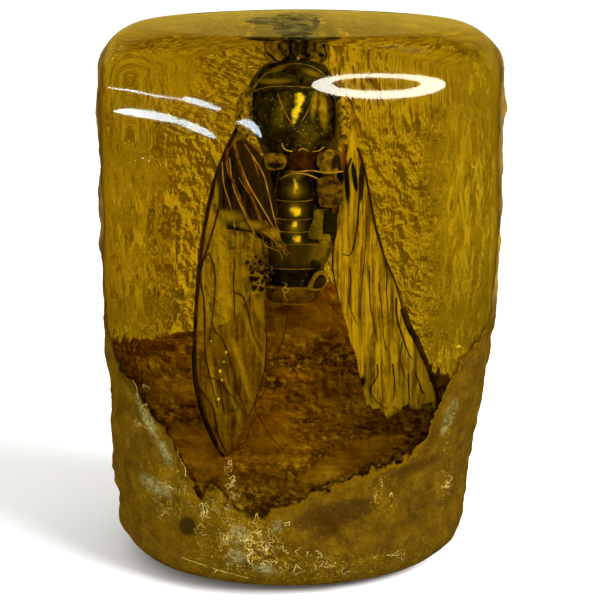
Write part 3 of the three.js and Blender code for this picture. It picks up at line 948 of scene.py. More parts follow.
rear = {
    "scutellum": [(59.0, 0.2, 0.4, -8.4, -6.5), (58.6, 0.2, 1.8, -9.3, -5.5), (57.2, 0.3, 2.0, -9.2, -5.5),
                  (55.9, 0.4, 1.8, -8.9, -5.5), (55.5, 0.4, 0.4, -7.8, -6.0)],
    "bossLeft": [(58.5, -2.7, 0.3, -8.3, -6.5), (58.2, -2.7, 1.1, -9.2, -6.0),
                 (57.2, -2.9, 1.55, -9.6, -5.8), (56.4, -3.0, 1.1, -9.2, -6.0),
                 (56.1, -3.0, 0.3, -8.3, -6.8)],
    "bossRight": [(58.6, 3.2, 0.3, -8.3, -6.5), (58.2, 3.2, 1.1, -9.2, -6.0), (57.0, 3.3, 1.55, -9.6, -5.8),
                  (55.8, 3.2, 1.0, -9.2, -6.0), (55.4, 3.1, 0.3, -8.3, -6.8)],
    "darkSpotLeft": ((-2.9, 56.9), (1.0, 0.45), 0.3), "darkSpotRight": ((4.2, 57.3), (0.5, 0.9), 0.3),
    "paleRims": [
        [(-1.0, -9.3, 55.9), (1.2, -9.5, 56.2), (3.2, -9.2, 55.9), (5.0, -8.0, 55.9)],
        [(-2.4, -8.4, 54.9), (-1.2, -9.2, 55.7), (0.4, -9.4, 55.8), (1.6, -9.2, 55.4), (2.4, -8.6, 54.8)],
        [(-2.1, -9.9, 59.8), (-2.0, -10.0, 59.3), (-1.6, -9.9, 58.9), (-0.9, -9.7, 58.7)],
        [(1.5, -9.7, 58.7), (2.2, -9.9, 58.8), (2.8, -9.9, 59.3)],
        [(-0.2, -9.8, 58.8), (0.3, -9.9, 59.1), (0.9, -9.8, 58.8)],
    ],
}

def makeRear(r):
    castPiece("scutellum", ovalBody(r["scutellum"], 30, 40), hornySkin("scutellum_skin"))
    amber = hornySkin("amber_boss_skin")
    for side in ("Left", "Right"):
        points, faces = ovalBody(r["boss" + side], 50, 60)
        points = points + 0.30 * noisePush(points, 1.0, 3, (44, 45, 46))
        dark = marks(points, [r["darkSpot" + side]])
        castPiece("boss_" + side.lower(), (points, faces), amber, mark=dark)
    rims = [tube(smoothCurve(path, 24), 0.08, 8) for path in r["paleRims"]]
    castPiece("pale_rims", joinShapes(rims), hornySkin("pale_rim_skin"))
    print("rear of thorax made")


makeRear(rear)


abdomen = {
    "outline": [(57.6, 0.1, 3.0, -8.0, -2.0), (55, 0.0, 3.9, -8.3, -1.4), (52, -0.1, 4.6, -8.4, -1.0),
                (49, -0.1, 4.8, -8.4, -0.8), (46.6, 0.0, 4.5, -8.7, -0.8), (43.5, -0.6, 3.7, -8.3, -1.0),
                (41, -0.8, 3.4, -7.8, -1.4), (39, -0.8, 3.1, -7.4, -2.0), (38.3, -0.8, 2.6, -7.0, -2.6),
                (38.0, -0.8, 1.6, -6.2, -3.0)],
    "belts": [("black", 56.6), ("black", 54.6), ("black", 52.4), ("black", 50.0), ("black", 48.3),
              ("olive", 46.6), ("jet", 43.2), ("brown", 40.6), (None, 38.0)],
    # a narrower row of plates down the middle of the back
    "keelOutline": [(56.4, -0.7, 1.5, -8.7, -6), (55.4, -0.7, 2.0, -9.2, -6), (53, -0.65, 2.25, -9.5, -6),
                    (50, -0.6, 2.35, -9.6, -6), (47.5, -0.6, 2.35, -9.5, -6), (46.2, -0.6, 2.2, -9.2, -6)],
    "keelEdges": [55.8, 52.3, 49.9, 48.3, 46.6],
    # painted highlights down the middle of the keel; keelSheen is the width of its painted sheen
    "keelHighlights": [((-0.55, 54.3), (0.16, 0.6), 0.9), ((-0.5, 51.0), (0.42, 0.55), 0.5),
                  ((-0.5, 49.2), (0.26, 0.36), 0.6), ((-0.55, 47.4), (0.34, 0.40), 0.6)],
    "keelSheen": 0.75,
    # z, middle, half width, back and how far the ends drop below the middle
    "hems": [(52.25, -0.6, 2.3, -9.75, 0.2), (49.85, -0.6, 2.4, -9.85, 0.2), (48.25, -0.6, 2.4, -9.8, 0.15),
             (46.6, 0.2, 4.2, -9.4, -1.0), (43.25, -0.6, 3.8, -8.9, 0.1), (40.6, -0.8, 3.5, -8.3, 0.1),
             (38.4, -0.8, 3.0, -7.8, 0.1)],
}


# A belt round the abdomen between two heights of an outline. It starts inside the belt before it, widens as
# the square root of the way down to its own lower edge, and curls in under it.
def abdomenBelt(outline, top, bottom, rows=18, columns=72):
    table = smoothCurve(outline, 200)
    share = np.linspace(0, 1, rows)
    z = top + 0.3 - share * (top + 0.3 - bottom)
    middle, half, back, belly = (np.interp(-z, -table[:, 0], table[:, k])[:, None] for k in (1, 2, 3, 4))
    swell = (0.95 + 0.075 * np.sqrt(share) - 0.10 * smoothStep(share, 0.94, 1.0))[:, None]
    turn = np.arange(columns)[None, :] / columns * 2 * math.pi
    level = back + 0.6 * (belly - back)
    s = np.sin(turn)
    y = level + swell * np.where(s > 0, -s * (level - back), -s * (belly - level))
    x = middle + swell * half * np.cos(turn)
    return closedSkin(np.stack(np.broadcast_arrays(x, y, z[:, None]), -1))


# A pale hem along a belt's lower edge: an arc across the back
def hemTube(z, middle, half, back, drop):
    turn = np.linspace(-1.15, 1.15, 40)
    bow = 1 - np.cos(turn)
    return tube(np.stack([middle + half * np.sin(turn), back + 1.4 * bow, z + drop * bow], -1), 0.045, 6)


def makeAbdomen(a):
    finishes = {title: hornySkin(title + "_belt_skin") for title in ("black", "olive", "jet", "brown")}
    for number, (finish, top) in enumerate(a["belts"][:-1]):
        points, faces = abdomenBelt(a["outline"], top, a["belts"][number + 1][1])
        points[:, 1] += 0.05 * layeredNoise(points, 0.8, 3, 51)
        sheen = smoothStep(points[:, 0] - 0.3 * (points[:, 2] - 45), 0.2, 3.4)
        name = "abdomen_belt_%d" % (number + 1)
        castPiece(name, (points, faces), finishes[finish], mark=np.zeros(len(points)), sheen=sheen)
    edges = a["keelEdges"]
    shapes = [abdomenBelt(a["keelOutline"], *pair, 24, 96) for pair in zip(edges[:-1], edges[1:])]
    points, faces = joinShapes(shapes)
    points[:, 1] += 0.05 * layeredNoise(points, 0.6, 3, 52)
    # painted sheen down the middle of the keel, and painted highlights on it
    sheen = np.exp(-((points[:, 0] + 0.55) / a["keelSheen"]) ** 2)
    sheen = sheen * (0.55 + 0.45 * np.sin(2.6 * points[:, 2] + 0.5))
    ragged = points + 0.45 * noisePush(points, 0.5, 2, (53, 54, 55))
    paintedHighlights = marks(ragged, a["keelHighlights"])
    castPiece("keel_plates", (points, faces), hornySkin("keel_plate_skin"), mark=paintedHighlights, sheen=sheen)
    castPiece("belt_hems", joinShapes([hemTube(*hem) for hem in a["hems"]]), hornySkin("hem_skin"))
    print("abdomen made,", len(a["belts"]) - 1, "belts")


# Thin plates on the flank, each an oval body lying on the belts
flankPlates = [
    ("flank_plate_upper", [(55.4, 3.2, 0.3), (54.8, 3.3, 1.3), (53.0, 3.5, 1.5), (51.6, 3.5, 1.2),
                           (51.3, 3.5, 0.3)], -8.9, (0.012, 0.007, 0.003), (0.20, 0.12, 0.025)),
    ("flank_plate_pale", [(51.1, 2.2, 0.4), (50.9, 2.2, 0.62), (49.5, 2.1, 0.62), (48.9, 1.9, 0.8),
                          (47.5, 1.8, 0.85), (47.3, 1.8, 0.4)], -9.45, (0.07, 0.055, 0.014),
     (0.20, 0.16, 0.035)),
    ("flank_plate_dark", [(50.6, 3.5, 0.4), (50.3, 3.5, 0.85), (49.0, 3.5, 0.9), (47.4, 3.4, 0.85),
                          (47.1, 3.4, 0.4)], -8.9, (0.003, 0.003, 0.002), (0.012, 0.010, 0.004)),
    ("flank_plate_gold", [(47.9, 2.9, 0.3), (47.7, 2.9, 0.75), (46.9, 2.9, 0.8), (46.5, 3.0, 0.3)], -9.0,
     (0.12, 0.09, 0.02), (0.34, 0.26, 0.05)),
    ("flank_chip_small", [(44.4, 1.8, 0.2), (44.2, 1.8, 0.5), (43.5, 2.0, 0.6), (43.1, 2.1, 0.2)], -9.0,
     (0.004, 0.004, 0.003), (0.02, 0.016, 0.006)),
    ("flank_chip_rim", [(42.9, 2.6, 0.3), (42.5, 2.5, 0.8), (41.4, 2.2, 1.1), (40.5, 1.8, 0.9),
                        (40.3, 1.7, 0.3)], -8.3, (0.16, 0.11, 0.03), (0.42, 0.30, 0.09)),
    ("flank_chip_core", [(42.4, 2.6, 0.2), (42.1, 2.55, 0.5), (41.4, 2.35, 0.75), (40.7, 2.1, 0.55),
                         (40.55, 2.0, 0.2)], -8.45, (0.005, 0.004, 0.003), (0.03, 0.02, 0.007)),
]


def makeFlankPlates(plates):
    for name, outline, back, dark, light in plates:
        stations = [(z, middle, half, back, back + 0.7) for z, middle, half in outline]
        skin = hornySkin(name + "_skin", {"dark": dark, "light": light, "gloss": 0.2, "patch": 0.9})
        castPiece(name, ovalBody(stations, 24, 28, 3.5), skin)
    print("flank plates made")


makeAbdomen(abdomen)
makeFlankPlates(flankPlates)


# Each wing hangs from its hinge between a front and a rear margin, given as x and z. Its level is how far
# forward it lies: y at the rear margin's x, falling back by slope for each millimetre away from it. Veins are
# x and z paths with a radius.
wings = {
    "fore_wing_left": {
        "front": [(-7.1, 61.3), (-8.3, 58.5), (-9.7, 54.0), (-10.7, 48.6), (-11.4, 42.4), (-11.8, 36.9),
                  (-12.0, 31.3), (-12.0, 27.9), (-11.6, 25.1), (-10.8, 21.5), (-9.6, 18.4), (-8.6, 17.0)],
        "rear": [(-6.8, 61.2), (-5.5, 57.2), (-4.6, 52.7), (-4.0, 48.8), (-3.7, 43.9), (-4.0, 38.8),
                 (-4.0, 34.1), (-4.2, 29.3), (-5.2, 25.2), (-6.2, 22.5), (-7.2, 19.3), (-8.3, 16.9)],
        "level": -7.4, "levelAt": -3.5, "slope": 0.28, "ripple": 0.22, "fray": 0.0, "hang": 0.0,
        "pale": (0.46, 0.33, 0.08), "deep": (0.09, 0.05, 0.012), "solid": 0.42, "gleam": 0.85,
        "cells": [((-8.9, 55.2), (0.7, 3.0), 0.25, 0.25), ((-9.6, 52.0), (0.35, 2.4), 0.4, 0.15)],
        "streaks": [((-6.0, 35.2), (0.35, 4.2), 0.7, 0.32), ((-7.0, 30.4), (0.32, 3.8), 0.7, 0.30),
                    ((-8.6, 40.5), (0.7, 5.0), 0.8, 0.06), ((-7.9, 25.5), (0.22, 3.6), 0.7, 0.28),
                    ((-9.9, 27.0), (0.30, 4.6), 0.7, 0.12), ((-6.3, 27.0), (0.2, 2.6), 0.8, 0.3),
                    ((-10.0, 50.0), (0.5, 4.6), 0.8, 0.2), ((-4.9, 37.6), (0.25, 1.8), 0.8, 0.3)],
        "veins": [
            (0.25, [(-7.1, 61.3), (-8.3, 58.5), (-9.7, 54.0), (-10.7, 48.6), (-11.4, 42.4), (-11.8, 36.9),
                    (-12.0, 31.3), (-12.0, 27.9), (-11.6, 25.1), (-10.8, 21.5), (-9.6, 18.4), (-8.6, 16.8),
                    (-7.9, 15.9)]),
            (0.33, [(-12.0, 31.3), (-11.9, 27.9), (-11.4, 25.0), (-10.6, 21.5), (-9.4, 18.4)]),
            (0.12, [(-8.9, 52.0), (-10.0, 47.4), (-11.0, 43.5), (-11.3, 41.3), (-10.9, 38.0), (-10.8, 31.4),
                    (-10.3, 28.0), (-9.4, 23.8)]),
            (0.09, [(-10.9, 43.8), (-10.3, 44.6), (-9.7, 41.9), (-9.8, 38.0), (-10.0, 35.0), (-8.8, 33.1)]),
            (0.10, [(-11.7, 26.8), (-10.0, 23.8), (-9.4, 20.1), (-8.8, 18.4), (-8.3, 16.9)]),
            (0.08, [(-8.8, 33.1), (-7.9, 29.9), (-7.0, 25.8), (-6.2, 23.1)]),
            (0.08, [(-7.5, 44.1), (-7.6, 40.0), (-6.4, 38.8), (-5.6, 34.7), (-4.5, 32.0)]),
            (0.08, [(-7.6, 40.0), (-7.5, 35.4)]),
            (0.08, [(-9.2, 27.5), (-8.2, 26.0), (-7.0, 24.4), (-6.3, 22.6)]),
            (0.09, [(-10.3, 28.0), (-9.2, 27.2), (-8.9, 24.6), (-8.6, 22.8)]),
            (0.07, [(-3.9, 36.0), (-4.1, 30.0), (-5.2, 25.2), (-6.4, 22.0)]),
        ],
    },
    "fore_wing_right": {
        "front": [(5.7, 61.1), (6.6, 58.8), (7.3, 56.2), (7.8, 53.4), (8.5, 49.1), (9.3, 45.6),
                  (10.2, 42.9), (11.1, 40.2), (11.7, 37.2), (12.6, 34.4), (13.6, 31.9), (14.5, 29.3),
                  (15.3, 26.4), (15.6, 24.8)],
        "rear": [(5.5, 60.9), (5.4, 58.0), (4.8, 54.0), (4.4, 51.5), (4.3, 49.0), (3.9, 44.6), (4.0, 41.9),
                 (4.7, 38.1), (5.4, 35.6), (5.8, 33.2), (6.4, 31.2), (6.8, 28.6), (7.2, 26.4), (7.3, 25.6)],
        "level": -7.2, "levelAt": 4.0, "slope": 0.17, "ripple": 0.2, "fray": 1.3, "hang": 1.7,
        "pale": (0.66, 0.53, 0.11), "deep": (0.20, 0.125, 0.02), "solid": 0.82, "gleam": 0.75,
        "cells": [((6.25, 55.0), (0.30, 2.0), 0.12, 0.12), ((7.05, 54.6), (0.30, 2.9), 0.12, -0.03),
                  ((5.4, 54.4), (0.28, 3.0), 0.2, 0.05), ((6.9, 27.4), (0.5, 1.2), 0.5, -0.4)],
        "streaks": [],
        "veins": [
            (0.15, [(6.6, 58.8), (7.3, 56.2), (7.8, 53.4), (8.5, 49.1), (9.3, 45.6), (10.2, 42.9),
                    (11.1, 40.2), (11.7, 37.2)]),
            (0.38, [(11.7, 37.4), (12.6, 34.4), (13.6, 31.9), (14.5, 29.3), (15.4, 26.4), (15.8, 24.3),
                    (16.0, 22.0)]),
            (0.11, [(7.1, 57.2), (6.8, 51.9), (6.5, 47.8), (5.9, 44.9), (4.9, 44.9)]),
            (0.12, [(5.9, 57.5), (4.8, 54.0), (4.3, 50.0), (3.8, 44.6), (4.0, 41.9), (4.7, 38.1)]),
            (0.08, [(8.3, 50.0), (9.8, 43.7), (9.9, 39.7), (10.1, 35.5)]),
            (0.08, [(8.0, 42.7), (8.1, 37.8), (8.5, 35.8), (8.7, 33.7)]),
            (0.08, [(5.8, 43.0), (5.9, 41.1), (5.7, 38.4), (6.5, 35.5)]),
            (0.12, [(11.0, 38.9), (11.1, 36.1), (11.9, 32.8), (12.6, 30.5)]),
            (0.08, [(10.5, 30.0), (10.7, 26.9), (10.5, 25.0)]),
            (0.09, [(8.8, 30.1), (8.8, 28.4), (8.0, 26.7), (8.5, 25.1), (9.9, 23.8)]),
            (0.09, [(12.3, 28.5), (12.3, 24.9)]),
            (0.09, [(13.0, 28.8), (13.7, 26.2), (14.0, 24.5)]),
            (0.06, [(7.7, 50.0), (7.4, 44.0), (7.0, 38.0), (7.2, 33.0)]),
            (0.06, [(9.0, 41.0), (9.4, 37.0), (9.6, 33.0), (10.4, 30.4)]),
            (0.06, [(11.6, 33.0), (11.4, 30.0), (12.2, 27.5)]),
        ],
    },
    "hind_wing_left": {
        "front": [(-7.5, 59.6), (-8.9, 56.9), (-9.7, 54.0), (-9.6, 51.4), (-8.4, 49.6)],
        "rear": [(-6.4, 60.2), (-4.4, 57.8), (-3.2, 54.6), (-2.6, 51.3), (-2.2, 47.4)],
        "level": -8.9, "levelAt": -2.5, "slope": 0.24, "ripple": 0.12, "fray": 0.9, "hang": 0.4,
        "pale": (0.035, 0.020, 0.005), "deep": (0.003, 0.002, 0.0015), "solid": 0.97, "gleam": 0.45,
        "cells": [],
        "streaks": [((-8.6, 49.9), (1.6, 0.7), 0.8), ((-5.6, 48.9), (1.4, 0.5), 0.8),
                    ((-3.2, 48.0), (1.0, 0.6), 0.8), ((-9.6, 52.6), (0.25, 1.6), 0.8)],
        "veins": [],
    },
    "hind_wing_right": {
        "front": [(5.6, 59.2), (6.3, 57.0), (6.9, 52.0), (6.7, 48.0), (6.2, 45.2)],
        "rear": [(5.0, 59.2), (4.6, 57.0), (3.9, 53.0), (3.7, 49.0), (3.8, 45.2)],
        "level": -6.6, "levelAt": 4.0, "slope": 0.17, "ripple": 0.12, "fray": 0.6, "hang": 0.0,
        "pale": (0.36, 0.15, 0.03), "deep": (0.10, 0.05, 0.015), "solid": 0.9, "gleam": 0.0,
        "cells": [((4.6, 54.0), (0.6, 3.4), 0.5, 0.1)],
        "streaks": [],
        "veins": [],
    },
}

# Pale veins fanning over the dark cells at the foot of the left wing
paleVeins = {
    "lift": "hind_wing_left",
    "veins": [
        (0.075, [(-7.5, 58.9), (-6.1, 54.6), (-4.5, 51.4), (-2.8, 48.2), (-1.9, 46.5)]),
        (0.07, [(-6.4, 59.4), (-4.4, 55.9), (-3.7, 53.2), (-3.1, 50.3), (-2.6, 48.2)]),
        (0.065, [(-8.1, 57.6), (-7.7, 54.0), (-6.6, 50.8), (-5.2, 47.6)]),
        (0.06, [(-8.9, 57.0), (-8.7, 54.0), (-8.0, 51.3), (-7.5, 48.4)]),
        (0.055, [(-7.1, 55.1), (-5.8, 52.7), (-4.7, 49.6)]),
        (0.05, [(-7.7, 54.8), (-6.9, 52.0), (-5.8, 49.4)]),
    ],
}


# Orange brown ribs beside them
orangeRibs = [
    (0.20, [(-7.6, 59.8), (-6.9, 56.6), (-6.0, 53.6), (-5.0, 50.8), (-4.3, 48.9)]),
    (0.16, [(-8.3, 58.8), (-8.3, 56.2), (-7.2, 53.2), (-6.6, 51.4)]),
    (0.12, [(-6.6, 60.0), (-5.4, 57.4), (-4.6, 54.6)]),
]


# gleaming is the gold of the wings' painted highlights
wingTones = {"gleaming": (0.80, 0.66, 0.14), "cell": (0.005, 0.004, 0.003)}


# Thin glassy film: pale and deep gold in long streaks, dark in the marked cells, a painted highlight of
# gleaming gold where the "streak" attribute is, and finely wrinkled along its length
def wingFilm(name, w):
    material, tree, shader = newMaterial(name)
    lengthwise = stretchedPlace(tree, stretch=(0.36, 1, 7))
    grain = noisePattern(tree, lengthwise, 1.0, detail=3, rough=0.6)
    blotch = noisePattern(tree, stretchedPlace(tree, stretch=(1, 1, 1.5)), 3.0, detail=3)
    tone = plus(tree, times(tree, grain, 0.78), times(tree, blotch, 0.22))
    mottle = noisePattern(tree, stretchedPlace(tree, stretch=(1, 1, 2.6)), 0.5, detail=3, rough=0.65)
    tone = plus(tree, tone, times(tree, aboutMiddle(tree, mottle), 0.3))
    film = colourRamp(tree, tone, [(0.40, w["deep"]), (0.56, w["pale"])])
    film = blendColour(tree, attributeValue(tree, "streak"), film, wingTones["gleaming"])
    film = blendColour(tree, attributeValue(tree, "cell"), film, wingTones["cell"])
    tree.links.new(film, shader.inputs["Base Color"])
    shader.inputs["Roughness"].default_value = 0.28
    shader.inputs["Specular IOR Level"].default_value = 0.06
    shader.inputs["Alpha"].default_value = w["solid"]
    bump = addNode(tree, "Bump", {"Strength": 0.7, "Distance": 0.25 * mm, "Height": grain})
    tree.links.new(bump.outputs["Normal"], shader.inputs["Normal"])
    return material


# How far forward the wing lies at x and z: a slope away from the rear margin, with soft ripples across it
def wingLevel(w, x, z):
    away = np.abs(x - w["levelAt"])
    ripple = np.sin(1.9 * x + 0.23 * z) + 0.6 * np.sin(3.7 * x - 0.31 * z + 1.0)
    return w["level"] + w["slope"] * away + w["ripple"] * ripple * smoothStep(61 - z, 2, 12)


# Noise along a wing's lower end, with about count teeth
def frayNoise(across, count, seed):
    return cellNoise(np.stack([across * count, 0 * across, 0 * across], -1), 1.0, seed)


# Film points run straight across from the front margin to the rear one. The lower end hangs down in the
# middle by "hang" and is frayed by noise.
def wingShape(w, rows=150, columns=60, thickness=0.07):
    front, rear = smoothCurve(w["front"], rows), smoothCurve(w["rear"], rows)
    along = np.linspace(0, 1, rows)[:, None]
    across = np.linspace(0, 1, columns)[None, :]
    x = front[:, :1] * (1 - across) + rear[:, :1] * across
    z = front[:, 1:] * (1 - across) + rear[:, 1:] * across
    tooth = frayNoise(across, 9, 5) + 0.6 * frayNoise(across, 31, 6)
    z = z - along ** 10 * (w["hang"] * np.sin(math.pi * across) + w["fray"] * tooth)
    y = wingLevel(w, x, z)
    face = np.stack([x, y - thickness / 2, z], -1)
    behind = np.stack([x, y + thickness / 2, z], -1)[:, ::-1]
    return closedSkin(np.concatenate([face, behind], 1))


# Veins as tubes riding on the film's face, thinning towards their ends
def veinShapes(w, veins):
    shapes = []
    for radius, path in veins:
        curve = smoothCurve(path, 14 * len(path))
        y = wingLevel(w, curve[:, 0], curve[:, 1]) - 0.06
        share = np.linspace(0, 1, len(curve))
        shapes.append(tube(np.stack([curve[:, 0], y, curve[:, 1]], -1), radius * (1 - 0.45 * share ** 2), 7))
    return joinShapes(shapes)


def makeWings(allWings):
    darkVein = hornySkin("dark_vein_skin")
    for name, w in allWings.items():
        points, faces = wingShape(w)
        film = wingFilm(name + "_film", w)
        # streak: painted highlights in gleaming gold
        cell, streak = marks(points, w["cells"]), w["gleam"] * marks(points, w["streaks"])
        castPiece(name, (points, faces), film, cell=cell, streak=streak)
        if w["veins"]:
            castPiece(name + "_veins", veinShapes(w, w["veins"]), darkVein)
    under = allWings[paleVeins["lift"]]
    castPiece("pale_veins", veinShapes(under, paleVeins["veins"]), hornySkin("pale_vein_skin"))
    castPiece("orange_ribs", veinShapes(under, orangeRibs), hornySkin("rib_skin"))
    print("wings made")


makeWings(wings)


sediment = {
    "topEdge": [(-22, 27), (-17, 31.5), (-12, 32.5), (-7.5, 33.5), (-4.5, 37.5), (-1, 39.5), (2, 39.5),
                (5, 37.5), (7.5, 33), (11, 29), (14, 25), (18, 22), (22, 20)],
    "foot": 3.5, "middleY": 5.0, "halfWidth": 21.0, "frontDepth": 6.5, "backDepth": 10.0, "footForward": 13.0,
    "lumps": 2.2, "rows": 150, "columns": 300, "grit": (0.035, 0.022, 0.008), "shadeTowardsRight": (0.68, 0.70, 0.8),
    "tones": [(0.30, (0.14, 0.066, 0.010)), (0.43, (0.31, 0.165, 0.022)), (0.53, (0.45, 0.27, 0.038)),
              (0.64, (0.66, 0.44, 0.085)), (0.76, (1.0, 0.85, 0.25))],
    "bands": [((5.0, 16.8), (6.6, 1.3), 0.5, 0.45), ((-4.0, 20.0), (3.0, 3.4), 0.8),
              ((-10.5, 16.5), (2.4, 4.0), 0.8, 0.4), ((0.0, 36.0), (4.5, 3.5), 0.8),
              ((-12.5, 25.0), (2.0, 1.6), 0.7)],
}


# A lumpy bank filling the lower part of the block behind the wings. Each ring is an oval in plan; its height
# goes from the foot to the top edge above it, and noise pushes the face in and out.
def sedimentShape(d):
    share = np.linspace(0, 1, d["rows"])[:, None]
    turn = np.arange(d["columns"])[None, :] / d["columns"] * 2 * math.pi
    c, s = np.cos(turn), np.sin(turn)
    plump = np.sqrt(np.clip(1 - np.abs(2 * share - 1) ** 7, 0, 1)) * (1 - 0.12 * (1 - share) ** 2)
    x = d["halfWidth"] * plump * np.sign(c) * np.abs(c) ** 0.85
    y = d["middleY"] + plump * np.where(s > 0, d["backDepth"] * s, d["frontDepth"] * s)
    edge = np.array(d["topEdge"])
    top = np.interp(x, edge[:, 0], edge[:, 1])
    z = d["foot"] + share * (top - d["foot"])
    # the front slopes forward towards the foot
    y = y + np.where(s < 0, d["footForward"] * s * plump * (1 - smoothStep(z, 9, 24)), 0)
    points = np.stack(np.broadcast_arrays(x, y, z), -1)
    push = d["lumps"] * layeredNoise(points, 6.0, 4, 41) * np.sqrt(plump)
    points[..., 0] += push * c * 0.5
    points[..., 1] += push * s
    points[..., 2] += 1.6 * layeredNoise(points, 4.0, 3, 47) * smoothStep(share, 0.75, 1.0)
    return closedSkin(points)


# Earthy mottle of red brown, ochre and gold, each fine lump with a painted lit side and a painted shaded one,
# smoother and lighter along the "band" attribute, with dark grit gathered in drifts, and painted shade
# darkening it towards the right
def sedimentFinish(d):
    material, tree, shader = newMaterial("sediment")
    place = stretchedPlace(tree)
    aside = {0: place, 1: (0.3 * mm, 0, 0.3 * mm)}
    moved = addNode(tree, "VectorMath", aside, operation="ADD").outputs["Vector"]
    cloud = noisePattern(tree, stretchedPlace(tree, stretch=(1.5, 1, 0.8), turn=(0, 0.3, 0)), 3.8, detail=7,
                         rough=0.66, warp=0.25)
    relief = [noisePattern(tree, at, 0.95, detail=5, rough=0.7, warp=0.2) for at in (place, moved)]
    band = attributeValue(tree, "band")
    # painted light and shade: the fine relief less itself moved a little, softer along the band
    slope = times(tree, minus(tree, *relief), blendNumber(tree, band, 1.15, 0.3))
    tone = plus(tree, cloud, slope)
    tone = plus(tree, tone, times(tree, band, 0.04))
    earth = colourRamp(tree, tone, d["tones"])
    drift = noisePattern(tree, stretchedPlace(tree, stretch=(1.8, 1, 0.7)), 5.0, detail=4, warp=0.3)
    grit = noisePattern(tree, place, 0.75, detail=3, rough=0.7)
    dark = times(tree, spread(tree, drift, 0.49, 0.57), spread(tree, grit, 0.50, 0.57))
    dark = times(tree, dark, spread(tree, band, 0, 1, 0.9, 0.0))
    across = addNode(tree, "SeparateXYZ", {"Vector": place}).outputs["X"]
    # painted shade, darker towards the right from x = -15 mm
    earth = blendColour(tree, spread(tree, across, -15 * mm, -4 * mm), earth, d["shadeTowardsRight"], "MULTIPLY")
    tree.links.new(blendColour(tree, dark, earth, d["grit"]), shader.inputs["Base Color"])
    shader.inputs["Roughness"].default_value = 0.75
    shader.inputs["Specular IOR Level"].default_value = 0.1
    bump = addNode(tree, "Bump", {"Strength": 0.6, "Distance": 0.5 * mm, "Height": relief[0]})
    tree.links.new(bump.outputs["Normal"], shader.inputs["Normal"])
    return material


def makeSediment(d):
    points, faces = sedimentShape(d)
    castPiece("sediment_bank", (points, faces), sedimentFinish(d), band=marks(points, d["bands"]))
    print("sediment made")


makeSediment(sediment)

# Small things cast in with the insect: a long hair and its branch, a pale loop, gold fibres, black crumbs
# with pale rims, and gold flecks that are painted glints. Fine things are paths of x, y and z with a radius;
# balls are a middle and a radius.
inclusions = {
    "hair": [(0.055, [(-2.2, -9.2, 41.2), (-1.4, -9.3, 39.0), (-1.9, -9.2, 34.6), (-2.6, -9.2, 32.4),
                      (-3.1, -9.2, 31.9), (-3.1, -9.3, 30.5), (-4.1, -9.3, 28.8), (-4.3, -9.4, 26.6),
                      (-5.2, -9.5, 25.5), (-5.3, -9.6, 24.3), (-4.9, -9.8, 23.5), (-3.6, -10.2, 20.9),
                      (-1.8, -10.6, 18.7)]),
             (0.05, [(-5.3, -9.6, 24.3), (-5.9, -9.8, 22.1), (-6.5, -10.0, 20.0), (-7.4, -10.2, 19.4),
                     (-8.3, -10.4, 17.9)]),
             (0.045, [(-5.2, -9.6, 25.0), (-6.6, -9.6, 25.6), (-7.6, -9.6, 24.2), (-8.4, -9.7, 24.4)]),
             (0.04, [(-5.0, -9.6, 24.0), (-5.6, -9.7, 22.6), (-6.8, -9.8, 21.8), (-7.6, -9.9, 22.6)])],
    "paleLoops": [(0.06, [(-1.9, -9.3, 41.6), (-1.6, -9.5, 41.2), (-2.1, -9.5, 40.7), (-1.7, -9.4, 40.2),
                          (-1.4, -9.3, 40.6), (-1.9, -9.3, 41.0)]),
                  (0.05, [(-1.9, -9.3, 40.3), (-1.8, -9.3, 39.6), (-1.5, -9.3, 39.2)])],
    "fibres": {"from": (-4.2, -8.8, 49.0), "to": (-1.9, -9.2, 45.6), "spread": 0.7, "count": 12,
               "radius": 0.05},
    "crumbs": {"middle": (-4.7, -8.4, 42.6), "half": (1.5, 0.5, 2.2), "size": (0.10, 0.30), "count": 40},
    "bubbles": [((19.6, -10.2, 32.4), 0.42), ((21.0, -9.6, 56.2), 0.22), ((-19.5, -10.4, 40.6), 0.2)],
    "glintFlecks": [((-8.7, -9.3, 32.1), 0.14), ((-9.4, -9.2, 29.5), 0.16), ((-9.2, -9.2, 28.3), 0.12),
               ((-9.6, -9.0, 25.6), 0.15), ((3.4, -9.6, 43.4), 0.10), ((3.3, -9.6, 41.8), 0.08),
               ((-10.4, -9.0, 33.5), 0.09), ((-9.0, -9.3, 30.8), 0.09)],
}


# Fibres run between two scattered ends through a scattered middle
def fibreShapes(f, rng):
    shapes = []
    for _ in range(f["count"]):
        ends = np.array([f["from"], f["to"]]) + rng.normal(0, f["spread"], (2, 3)) * (1, 0.2, 1)
        middle = ends.mean(0) + rng.normal(0, 0.5, 3) * (1, 0.2, 1)
        radius = f["radius"] * rng.uniform(0.5, 1.3)
        shapes.append(tube(smoothCurve([ends[0], middle, ends[1]], 20), radius, 6))
    return shapes


# Crumbs are small ovals scattered about a middle, each with a wider pale one behind it
def crumbShapes(c, rng):
    black, rims = [], []
    for _ in range(c["count"]):
        middle = np.array(c["middle"]) + np.clip(rng.normal(0, 0.55, 3), -1, 1) * c["half"]
        size = rng.uniform(*c["size"], 3)
        black.append(ovalBall(middle, size, 10, 14))
        rims.append(ovalBall(middle + (0, 0.25, -0.05), size * 1.2, 10, 14))
    return black, rims


